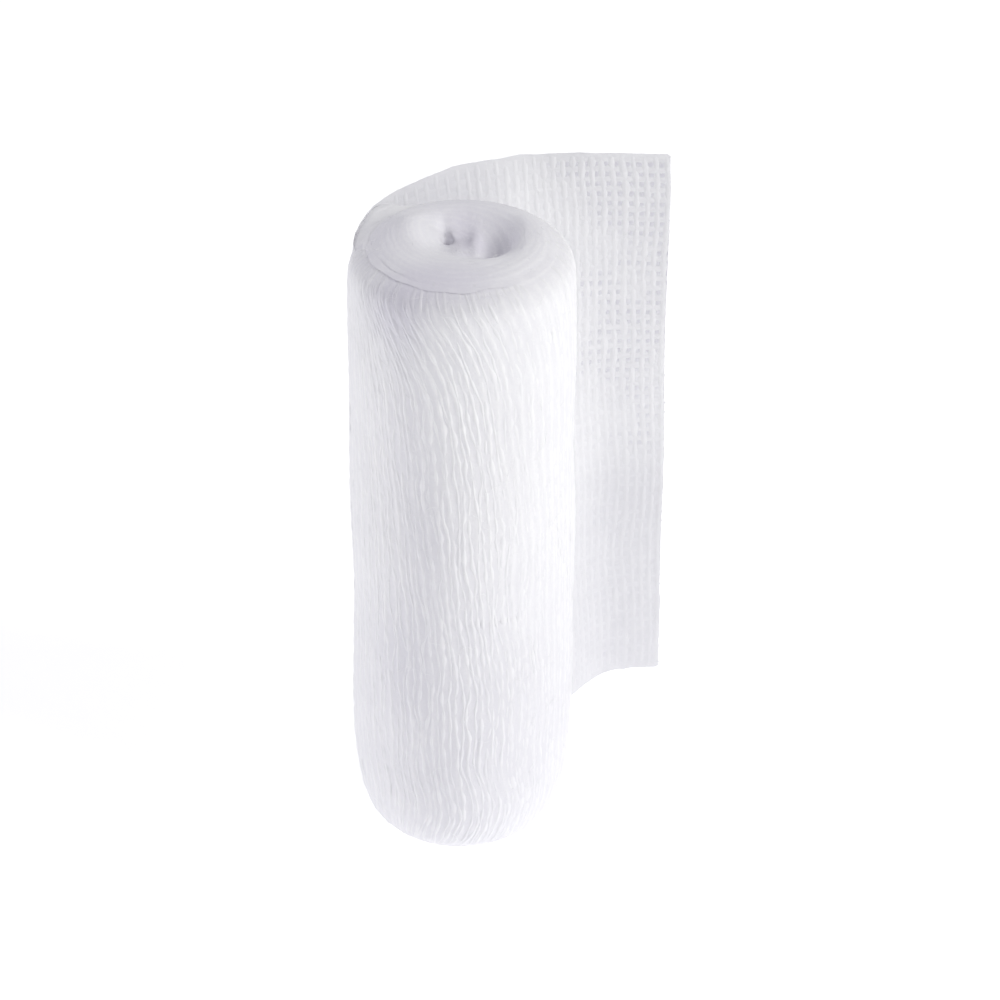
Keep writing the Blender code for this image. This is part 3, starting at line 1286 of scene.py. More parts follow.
@dataclass
class OuterTurn:
    """The yarns of the outer turn and of the turn right below it.

    Attributes:
        form: The roll's form.
        weave: The strip's weave.
        girth: The way round the roll.
        sway: How far the up yarns go in and out at each crossing.
        foot_radius: Where the up yarns start on the lower end.
        end_radius: Where they stop on the upper end.
        lean_middle: The share of a turn where the up yarns lean most.
        lean_spread: How far round they lean.
        lean_least: The share of the lean that holds all round.
        calm: The stretch of a turn, at the right, where they stand out least.
        calm_left: Where they stand out less again, at the left.
        past_seam: Where they stand out fully again past the loose end's start.
        on_end: Where they fade from the side to the upper end, by radius.
        fade: Where they sink into the upper end, by radius.
        seam: The stretch of a turn where they sink towards the loose end.
        calm_sink: How far they sink where they stand out least.
        fade_sink: How far they sink into the upper end.
        seam_sink: How far they sink towards the loose end.
        drift: The long waves of all yarns together.
        fine_drift: Their short waves.
    """

    form: RollForm
    weave: Weave
    girth: float = 115.0 * MM
    sway: float = 0.03 * MM
    foot_radius: float = 14.8 * MM
    end_radius: float = 12.2 * MM
    lean_middle: float = 0.77
    lean_spread: float = 0.17
    lean_least: float = 0.10
    calm: Band = Band(Ramp(0.46, 0.08), Ramp(0.77, -0.13))
    calm_left: Ramp = Ramp(0.90, 0.06)
    past_seam: Ramp = Ramp(0.045, 0.02)
    on_end: Ramp = Ramp(13.0 * MM, 4.5 * MM)
    fade: Ramp = Ramp(13.8 * MM, -1.4 * MM)
    seam: Band = Band(Ramp(-0.006, 0.014), Ramp(0.07, -0.02))
    calm_sink: float = 0.05 * MM
    fade_sink: float = 0.07 * MM
    seam_sink: float = 0.16 * MM
    drift: Ripples = Ripples(0.32 * MM, 6, 32.0 * MM, 31)
    fine_drift: Ripples = Ripples(0.15 * MM, 20, 9.0 * MM, 37, 22)

    def shift_right(self, height: Array, turn: Array) -> Array:
        """How far the up yarns stand to the right of their places, in metres round the roll."""
        table = np.array(UP_YARN_COURSE)
        dense = np.linspace(table[0, 0], table[-1, 0], 300)
        course = curve_through(table[:, 0], table[:, 1:], dense)[:, 0]
        lean = np.interp(height / MM, dense, course) * MM
        away = (turn - self.lean_middle + 0.5) % 1.0 - 0.5
        bell = np.exp(-((away / self.lean_spread) ** 2))
        weight = self.lean_least + (1 - self.lean_least) * bell
        return lean * weight + self.drift.at(turn, height) + self.fine_drift.at(turn, height)

    def yarn_number(self, height: Array, turn: Array) -> Array:
        """The running number of the up yarn at a point of the roll.

        Args:
            height: Heights of points.
            turn: Their shares of a turn.

        Returns:
            Numbers, whole on the yarns' middle lines.
        """
        place = turn
        for _ in range(7):
            place = turn + self.shift_right(height, place) / self.girth
        return place * self.weave.up_yarns - 0.5

    def row_number(self, height: Array) -> Array:
        """The round yarn at heights, as a running number."""
        return (height - LOWER_SELVEDGE) / STRIP_WIDTH * self.weave.rows - 0.5

    def relief(self, radius: Array, height: Array, turn: Array) -> Array:
        """How clearly the up yarns stand out: most at the front left, least at the right."""
        near_seam = 1 - self.past_seam.at(turn % 1.0)
        to_left = np.maximum(self.calm_left.at(turn), near_seam)
        on_side = 1.12 - 0.65 * self.calm.at(turn) - 0.5 * to_left
        on_end = self.on_end.at(radius) * 0.9 + 0.1
        return on_side * np.where(height > STRIP_WIDTH / 2, on_end, 1.0)

    def build_up(self, layer: YarnLayer, end_face: "EndFace", material: Material) -> Piece:
        """Makes one layer of up yarns.

        Args:
            layer: Its sizes.
            end_face: The soft end that they fade out on.
            material: Its material.

        Returns:
            The piece.
        """
        rng = layer.seed.draws()
        count, form = self.weave.up_yarns, self.form
        start = form.station_at_radius(self.foot_radius, upper=False)
        stop = form.station_at_radius(self.end_radius, upper=True)
        stations = np.linspace(start, stop, int((stop - start) / layer.step))
        along = stations[None]
        height = form.read(along, form.height)
        places = ((np.arange(count) + 0.5 + layer.offset) / count)[:, None]
        stray = wander(rng, count, along, 14.0 * MM) + 0.35 * wander(rng, count, along, 4.5 * MM)
        places = (places + stray * layer.stray / self.girth) % 1.0
        turn = places - self.shift_right(height, places) / self.girth
        crossing = np.cos(math.pi * (self.row_number(height) + np.arange(count)[:, None]))
        sink = layer.sink * wander(rng, count, along, 12.0 * MM)
        depth = layer.depth - self.sway * crossing + sink
        points, out = form.point(np.broadcast_to(along, turn.shape), turn, depth)
        radius = form.read(along, form.radius)
        on_end = end_face.point(radius, turn)
        on_end[..., 2] += layer.depth - depth
        share = smooth_step((RIM_RADIUS - radius) / end_face.rim_blend)
        share = share * (height > STRIP_WIDTH / 2)
        points = points + (on_end - points) * share[..., None]
        relief = self.relief(radius, height, turn)
        sunk = self.calm_sink * (1 - relief) + self.fade_sink * self.fade.at(radius) * share
        at_seam = self.seam.at((turn + 0.5) % 1.0 - 0.5)
        points = points - out * (sunk + self.seam_sink * at_seam)[..., None]
        full = 1 + 0.24 * wander(rng, count, along, SLUB) + 0.14 * wander(rng, count, along, NUB)
        full = full + 0.20 * crossing
        width = layer.half_width * full * rng.uniform(0.8, 1.2, (count, 1))
        parts = MeshParts()
        strips(parts, points, out, width, layer.rise * full * relief, Section.ON_CLOTH.value)
        return parts.build(layer.name, material)


@dataclass
class WoundTurns:
    """The cloth of the roll's side, with the soft ridges of its yarns, and the body below it.

    Attributes:
        form: The roll's form.
        outer: The yarns of the outer turn.
        side_depth: How far the cloth lies below the surface, between its yarns.
        foot_lift: How far the body ends above the floor.
        foot_radius: Where its side starts on the lower end.
        foot_rings: The rings that close its foot, as shares of the side's radius.
        heart_rings: The rings that close it below the upper end: the same, and how deep.
        overlap: How far the side's cloth and the upper end's each go on below the other.
        dive_depth: How far a border dives there.
        columns: Points round it.
        rows: Points up it.
        up_ridge: The height of an up yarn's ridge.
        under_ridge: The height of the ridges of the turn below.
        row_ridge: The height of a round yarn's ridge.
        fuzz: The height of the cloth's fine unevenness.
        crease_height: The height of the faint crease across the front.
        crease_depth: How deep it is.
        crease_half: Its half width.
        front: The stretch of a turn where it shows.
        plain: The stretch of a turn where the ridges are at their full height.
        swerve: Waves of the yarns of the turn below.
        level: Waves of the round yarns.
        patches: The places where the turn below shows through.
    """

    form: RollForm
    outer: OuterTurn
    side_depth: float = 0.36 * MM
    foot_lift: float = 0.45 * MM
    foot_radius: float = 14.2 * MM
    foot_rings: tuple[float, ...] = (0.04, 0.5)
    heart_rings: tuple[tuple[float, float], ...] = ((0.8, 3.0 * MM), (0.04, 9.0 * MM))
    overlap: float = 0.9 * MM
    dive_depth: float = 0.16 * MM
    columns: int = 384
    rows: int = 226
    up_ridge: float = 0.05 * MM
    under_ridge: float = 0.045 * MM
    row_ridge: float = 0.035 * MM
    fuzz: float = 0.02 * MM
    crease_height: float = 47.0 * MM
    crease_depth: float = 0.12 * MM
    crease_half: float = 0.6 * MM
    front: Band = Band(Ramp(0.62, 0.05), Ramp(0.80, -0.05))
    plain: Band = Band(Ramp(0.05, 0.03), Ramp(0.995, -0.03))
    swerve: Ripples = Ripples(0.30, 9, 16.0 * MM, 43, 18)
    level: Ripples = Ripples(0.12, 9, 30.0 * MM, 47)
    patches: Ripples = Ripples(1.0, 8, 14.0 * MM, 73, 20)

    def dive(self, beyond: Array) -> Array:
        """How far a cloth's border dives below the next one's, at distances beyond their join."""
        return self.dive_depth * smooth_step(beyond / self.overlap)

    def turns(self) -> Array:
        """The columns' shares of a turn, in a row."""
        return np.linspace(0.0, 1.0, self.columns + 1)[None]

    def ridges(self, height: Array, turn: Array, yarn: Array, row: Array) -> Array:
        """How far the cloth stands off its lowest places.

        Args:
            height: Heights of points.
            turn: Their shares of a turn.
            yarn: The running number of the up yarn there.
            row: The running number of the round yarn there.

        Returns:
            Distances.
        """
        narrow = 4
        up = np.abs(np.cos(math.pi * yarn)) ** narrow
        swerve = self.swerve.at(turn, height)
        under = np.abs(np.cos(math.pi * (yarn + 0.5 + swerve))) ** narrow
        rows = np.abs(np.cos(math.pi * (row + self.level.at(turn, height)))) ** narrow
        seen = 0.55 + 0.45 * np.clip(self.patches.at(turn, height), -1, 1)
        from_crease = (height - self.crease_height) / self.crease_half
        crease = np.exp(-(from_crease**2)) * self.front.at(turn)
        raised = (
            self.up_ridge * up
            + self.under_ridge * under * seen
            + self.row_ridge * rows * (1.2 - seen)
        )
        return raised * (0.25 + 0.75 * self.plain.at(turn)) - self.crease_depth * crease

    def cloth(self, stations: Array) -> tuple[Array, Array]:
        """The side's cloth.

        Args:
            stations: Distances along the section, in a column.

        Returns:
            Points, and the running numbers of the yarns there.
        """
        form = self.form
        shape = (len(stations), self.columns + 1)
        height = np.broadcast_to(form.read(stations, form.height), shape)
        turn = np.broadcast_to(self.turns(), shape)
        yarn = self.outer.yarn_number(height, turn)
        row = self.outer.row_number(height)
        raised = self.ridges(height, turn, yarn, row)
        raised[:, -1] = raised[:, 0]
        points, _ = form.point(stations, turn, self.side_depth - raised)
        return points, np.stack([yarn, row], axis=-1)

    def build(self, material: Material) -> Piece:
        """Makes the body."""
        form = self.form
        rng = Seed.SIDE.draws()
        start = form.station_at_radius(self.foot_radius, upper=False)
        stop = float(form.stations_at_radii(np.array([RIM_RADIUS - self.overlap]))[0])
        stations = np.linspace(start, stop, self.rows)[:, None]
        side, numbers = self.cloth(stations)
        below = self.dive(RIM_RADIUS - form.read(stations, form.radius))
        side[..., 2] -= below * (form.read(stations, form.height) > STRIP_WIDTH)
        fine = rng.normal(0.0, self.fuzz, side.shape[:2])
        fine = 0.5 * fine + 0.25 * (np.roll(fine, 1, 0) + np.roll(fine, -1, 0))
        fine[:, -1] = fine[:, 0]
        outwards = unit(side * np.array([1.0, 1.0, 0.0]))
        side += outwards * fine[..., None]
        side[..., 2] = np.maximum(side[..., 2], self.foot_lift)
        centre = np.array([form.lean_shift, 0.0, 0.0])
        foot = [centre + (side[0] - centre) * np.array([k, k, 1.0]) for k in self.foot_rings]
        heart = [
            side[-1] * np.array([k, k, 1.0]) - np.array([0.0, 0.0, sunk])
            for k, sunk in self.heart_rings
        ]
        points = np.stack([*foot, *side, *heart])
        numbers = np.concatenate([numbers[:1], numbers[:1], numbers, numbers[-1:], numbers[-1:]])
        return build_wall("wound_turns", points, material, numbers.reshape(-1, 2))


@dataclass
class EndFace:
    """The upper end: the soft edges of the wound turns, round a folded hollow.

    Attributes:
        form: The roll's form.
        hollow_x: The middle of the hollow from side to side.
        hollow_y: Its middle from front to back.
        hollow_rx: Its radius from side to side.
        hollow_ry: Its radius from front to back.
        left_depth: How deep its left side is.
        right_depth: How deep its right side is.
        heart_x: Where the winding's middle stands from side to side.
        heart_y: Where it stands from front to back.
        pitch: From one turn to the next.
        outer_radius: The outermost turn that shows.
        inner_radius: The innermost one.
        step: The length of a turn's segments.
        rings: Rings of points on the soft face.
        sunk: How far that face lies below the form.
        edge_rise: How far a turn's edge stands up from it.
        rim_blend: The width in which the side's cloth gives way to the end's.
        ridge: The height of the face's own ridges.
        fuzz: The height of its fine unevenness.
        hollow_from: Where the hollow starts to fall, as a share of its radii.
        hollow_fall: The width in which it falls, as a share of them.
        front_fall: How much wider it is at the front.
        front: Where the front sets in, from front to back.
        right: Where the hollow's right side sets in, from side to side.
        heart_gap: How much further apart the turns lie at the heart.
        heart_turns: Where they close up, by radius.
        heart_pull: Where the turns stop shifting towards the heart, by radius.
        folded: Where the small folds stop, by distance from the hollow's middle.
        whole: Where the waves are at their full height, by radius.
        edges_in: The width in which the turns' edges come out of the hollow.
        edges_out: Where they give way to the rim's yarns, by radius.
        soft: The face's soft waves.
        small_folds: The hollow's small folds.
        patches: The places where the turns' edges show.
        edge_waves: The waves of the turns' edges.
    """

    form: RollForm
    hollow_x: float = 0.7 * MM
    hollow_y: float = 1.0 * MM
    hollow_rx: float = 9.9 * MM
    hollow_ry: float = 8.8 * MM
    left_depth: float = 2.0 * MM
    right_depth: float = 2.7 * MM
    heart_x: float = -2.4 * MM
    heart_y: float = 2.3 * MM
    pitch: float = 1.05 * MM
    outer_radius: float = 14.6 * MM
    inner_radius: float = 6.4 * MM
    step: float = 0.4 * MM
    rings: int = 84
    sunk: float = 0.16 * MM
    edge_rise: float = 0.05 * MM
    rim_blend: float = 3.6 * MM
    ridge: float = 0.04 * MM
    fuzz: float = 0.018 * MM
    hollow_from: float = 1.08
    hollow_fall: float = 0.58
    front_fall: float = 0.14
    front: Ramp = Ramp(0.0, -3.0 * MM)
    right: Ramp = Ramp(-3.0 * MM, 7.0 * MM)
    heart_gap: float = 0.5 * MM
    heart_turns: Ramp = Ramp(7.0 * MM, -2.0 * MM)
    heart_pull: Ramp = Ramp(1.5 * MM, 12.0 * MM)
    folded: Ramp = Ramp(8.5 * MM, -3.0 * MM)
    whole: Ramp = Ramp(0.0, 4.0 * MM)
    edges_in: float = 2.2 * MM
    edges_out: Ramp = Ramp(12.6 * MM, 1.8 * MM)
    soft: Ripples = Ripples(0.09 * MM, 5, 6.0 * MM, 83, 20)
    small_folds: Ripples = Ripples(0.20 * MM, 3, 5.0 * MM, 89, 16)
    patches: Ripples = Ripples(1.0, 4, 5.0 * MM, 79, 16)
    edge_waves: Ripples = Ripples(0.14 * MM, 6, 3.1, 53)

    def height(self, x: Array, y: Array) -> Array:
        """The height of the end over a point, without its fine forms."""
        radius = np.hypot(x, y)
        slope = self.form.height[: self.form.crest + 1]
        reach = self.form.radius[: self.form.crest + 1]
        top = slope > STRIP_WIDTH
        dome = np.interp(-radius, -reach[top], slope[top])
        across = np.hypot((x - self.hollow_x) / self.hollow_rx, (y - self.hollow_y) / self.hollow_ry)
        fall = self.hollow_fall + self.front_fall * self.front.at(y)
        hollow = smooth_step((self.hollow_from - across) / fall)
        depth = self.left_depth + (self.right_depth - self.left_depth) * self.right.at(x)
        folds = 0.0
        for fold_x, fold_y, wide, long, high in np.array(HOLLOW_FOLDS) * MM:
            away = ((x - fold_x) / wide) ** 2 + ((y - fold_y) / long) ** 2
            folds = folds + high * np.exp(-away)
        return dome - depth * hollow + folds

    def number_at(self, radius: Array) -> Array:
        """The running number of the turn at radii, 0 at the outermost one."""
        reach = np.linspace(0.0, self.outer_radius, 2000)
        pitch = self.pitch + self.heart_gap * self.heart_turns.at(reach)
        run = np.concatenate([[0.0], np.cumsum(np.diff(reach) / pitch[1:])])
        beyond = np.maximum(radius - self.outer_radius, 0.0) / self.pitch
        return np.interp(radius, reach, run) - run[-1] + beyond

    def point(self, radius: Array, turn: Array) -> Array:
        """Points on the soft end.

        Args:
            radius: Distances from the winding's middle, which shifts towards its heart.
            turn: Shares of a turn.

        Returns:
            The points.
        """
        angle = math.pi - TAU * turn
        shift = 1 - self.heart_pull.at(radius)
        x = radius * np.cos(angle) + self.heart_x * shift
        y = radius * np.sin(angle) + self.heart_y * shift
        off_middle = np.hypot(x - self.hollow_x, y)
        folds = self.small_folds.at(turn, radius) * self.folded.at(off_middle)
        waves = (self.soft.at(turn, radius) + folds) * self.whole.at(radius)
        z = self.height(x, y) - self.sunk + waves
        return np.stack(np.broadcast_arrays(x, y, z), axis=-1)

    def seen(self, radius: Array, turn: Array) -> Array:
        """How clearly a turn's edge shows, 0 to 1."""
        patches = np.clip(0.40 + 0.60 * self.patches.at(turn, radius), 0, 1)
        outside = smooth_step((radius - self.inner_radius) / self.edges_in)
        return patches * outside * (1 - self.edges_out.at(radius))

    def build_face(self, wound: WoundTurns, material: Material) -> Piece:
        """Makes the soft end, from the side's cloth inwards.

        Args:
            wound: The side's cloth.
            material: The material.

        Returns:
            The piece.
        """
        rng = Seed.END.draws()
        innermost = 0.12 * MM
        radius = np.linspace(RIM_RADIUS + wound.overlap, innermost, self.rings)[:, None]
        side, _ = wound.cloth(self.form.stations_at_radii(radius))
        turn = np.broadcast_to(wound.turns(), side.shape[:2])
        reach = np.broadcast_to(radius, turn.shape)
        end = self.point(reach, turn)
        number = self.number_at(reach) - turn
        end[..., 2] += self.ridge * np.cos(math.pi * number) ** 2 * self.seen(reach, turn)
        end[..., 2] += rng.normal(0.0, self.fuzz, turn.shape)
        give_way = smooth_step((RIM_RADIUS - radius) / self.rim_blend)[..., None]
        face = side * (1 - give_way) + end * give_way
        face[:, -1] = face[:, 0]
        face[..., 2] -= wound.dive(radius - RIM_RADIUS)
        inwards, down = 0.97, 3.0 * MM
        skirt = face[:1] * np.array([inwards, inwards, 1.0]) - np.array([0.0, 0.0, down])
        points = np.concatenate([skirt, face])
        numbers = np.stack([number, np.zeros_like(number)], axis=-1)
        numbers = np.concatenate([numbers[:1], numbers]).reshape(-1, 2)
        return build_wall("upper_end_cloth", points, material, numbers)

    def build_edges(self, material: Material) -> Piece:
        """Makes the turns' edges, which stand up softly from the end along one spiral."""
        rng = Seed.TURN_EDGES.draws()
        reach = np.linspace(self.inner_radius, self.outer_radius, 2000)
        number = self.number_at(reach)
        length = np.concatenate([[0.0], np.cumsum(np.diff(number) * TAU * reach[1:])])
        even = np.linspace(0.0, length[-1], int(length[-1] / self.step))[None]
        radius, number = np.interp(even, length, reach), np.interp(even, length, number)
        radius = radius + self.edge_waves.at(number, number)
        line = self.point(radius, number)
        probe = 0.2 * MM
        inwards = self.point(radius - probe, number) - line
        onwards = np.gradient(line, axis=1)
        out = unit(np.cross(inwards, onwards))
        out *= np.sign(out[..., 2:])
        full = 1 + 0.3 * wander(rng, 1, even, SLUB)
        seen = self.seen(radius, number)
        lifted, buried = 0.07 * MM, 0.06 * MM
        line = line + out * (lifted * seen - buried)[..., None]
        parts = MeshParts()
        rise = self.edge_rise * full * (0.3 + 0.7 * seen)
        strips(parts, line, out, 0.40 * self.pitch * full, rise, Section.ON_CLOTH.value)
        return parts.build("upper_end_turns", material)


@dataclass
class SpreadEdge:
    """The upper edges of the outer turns, which spread out where the loose end leaves the roll.

    Attributes:
        form: The roll's form.
        loose: The loose end's form.
        end_face: The soft end that they spread from.
        starts: The share of a turn where they start.
        stops: The share of a turn where they have closed up again.
        inner_radius: Where they come out of the end.
        reach: The furthest that they spread off the side.
        height: The height of their border.
        clear: How far they stay off the loose end.
        opens_in: The share of a turn in which they spread.
        closes_in: The share of a turn in which they close up.
        least: How wide they are where they are closed.
        outer: Where the part that spreads sets in, by radius.
        under: How far their inner part lies below the end.
        tuck: How much further their inner border does.
        side_sink: How far they lie below the side's cloth.
        border_waves: The waves of their border, outwards.
        brim: Its waves up and down.
        uneven: The unevenness between.
    """

    form: RollForm
    loose: LooseForm
    end_face: EndFace
    starts: float = -0.035
    stops: float = 0.235
    inner_radius: float = 14.4 * MM
    reach: float = 3.2 * MM
    height: float = 104.45 * MM
    clear: float = 0.02 * MM
    opens_in: float = 0.035
    closes_in: float = 0.09
    least: float = 2.6 * MM
    outer: Ramp = Ramp(15.2 * MM, 1.2 * MM)
    under: float = 0.03 * MM
    tuck: float = 0.14 * MM
    side_sink: float = 0.26 * MM
    border_waves: Ripples = Ripples(0.04 * MM, 60, 1.0, 97)
    brim: Ripples = Ripples(0.12 * MM, 30, 1.0, 103)
    uneven: Ripples = Ripples(0.10 * MM, 24, 2.0 * MM, 107, 24)

    def border(self, turn: Array) -> Array:
        """The radius of their border at shares of a turn."""
        distance = np.linspace(0.0, LOOSE_LENGTH, 400)
        inside = self.loose.place(distance, np.full_like(distance, 0.99))
        along = (math.pi - np.arctan2(inside[:, 1], inside[:, 0])) / TAU
        order = np.argsort(along)
        cloth = np.interp(turn, along[order], np.hypot(inside[:, 0], inside[:, 1])[order])
        side = self.form.solid_side(np.full_like(turn, 101.0 * MM), np.clip(turn, 0.0, 1.0))
        close = smooth_step((self.stops - turn) / 0.10)
        off_side = np.minimum(cloth - side, self.reach) * close
        return side + off_side - self.clear

    def build(self, material: Material) -> Piece:
        """Makes the spread edges."""
        turn = np.linspace(self.starts, self.stops, 260)[:, None]
        share = np.linspace(0.0, 1.0, 30)[None]
        spread_out = Band(Ramp(self.starts, self.opens_in), Ramp(self.stops, -self.closes_in))
        opened = spread_out.at(turn)
        least = self.inner_radius + self.least
        border = self.border(turn) + self.border_waves.at(turn, 0 * turn)
        border = least + (border - least) * opened
        radius = self.inner_radius + (border - self.inner_radius) * share
        angle = math.pi - TAU * turn
        x, y = radius * np.cos(angle), radius * np.sin(angle)
        tucked = self.under + self.tuck * (1 - smooth_step(share / 0.2))
        closed = self.end_face.point(radius, turn)[..., 2] - tucked
        within_rim = RIM_RADIUS - 0.1 * MM
        on_side = 1 - smooth_step((within_rim - radius) / self.end_face.rim_blend)
        sunk = (0.45 - 0.30 * opened) * MM * self.outer.at(radius)
        closed = closed - self.side_sink * on_side - sunk
        low = self.height + self.brim.at(turn, 0 * turn)
        start = closed[:, :1]
        spread = start + (low - start) * share**1.25
        height = closed + (spread - closed) * smooth_step(share / 0.8) * opened
        uneven = self.uneven.at(turn, radius) * np.sin(math.pi * share)
        height = height + uneven * opened
        points = np.stack(np.broadcast_arrays(x, y, height), axis=-1)
        hems = []
        for inwards, down in ((0.05, 0.25), (0.25, 1.0), (0.6, 3.5)):
            hem = points[:, -1:] * (1 - inwards * MM / border)[..., None]
            hem[..., 2] = points[:, -1:, 2] - down * MM
            hems.append(hem)
        points = np.concatenate([points, *hems], axis=1)
        parts = MeshParts()
        parts.add(points, grid_quads(*points.shape[:2]))
        return parts.build("second_turn_edge", material)


@dataclass
class Foot:
    """The lower end: the flat edges of the wound turns that the roll stands on.

    Attributes:
        form: The roll's form.
        outer_radius: The outermost turn's radius.
        inner_radius: The innermost one's.
        pitch: From one turn to the next.
        step: The length of a turn's segments.
        depth: How far the turns go up into the roll.
        bevel: How high their worn corners are.
        half: Half a turn's thickness, as a share of the pitch.
        flat: The part of that which stands on the floor.
    """

    form: RollForm
    outer_radius: float = 14.0 * MM
    inner_radius: float = 1.2 * MM
    pitch: float = 1.05 * MM
    step: float = 0.8 * MM
    depth: float = 2.2 * MM
    bevel: float = 0.45 * MM
    half: float = 0.46
    flat: float = 0.6

    def build(self, material: Material) -> Piece:
        """Makes the turns' edges as one wound wall."""
        turns = (self.outer_radius - self.inner_radius) / self.pitch
        length = turns * math.pi * (self.outer_radius + self.inner_radius)
        share = np.linspace(0.0, 1.0, int(length / self.step))
        radius = np.sqrt(
            self.inner_radius**2 + share * (self.outer_radius**2 - self.inner_radius**2)
        )
        angle = math.pi - TAU * (radius - self.inner_radius) / self.pitch
        shift = self.form.lean_shift
        line = np.stack([radius * np.cos(angle) + shift, radius * np.sin(angle)], axis=-1)
        along = unit(np.gradient(line, axis=0))
        across = np.stack([along[:, 1], -along[:, 0]], axis=-1)
        half = self.half * self.pitch
        inner_half = ((-1, self.depth), (-1, self.bevel), (-self.flat, 0.0))
        outer_half = tuple((-side, height) for side, height in reversed(inner_half))
        rings = []
        for side, height in inner_half + outer_half:
            place = line + across * half * side
            rings.append(np.concatenate([place, np.full((len(line), 1), height)], axis=1))
        return build_wall("lower_end_turns", np.stack(rings, axis=1), material)


# --- The loose end ---


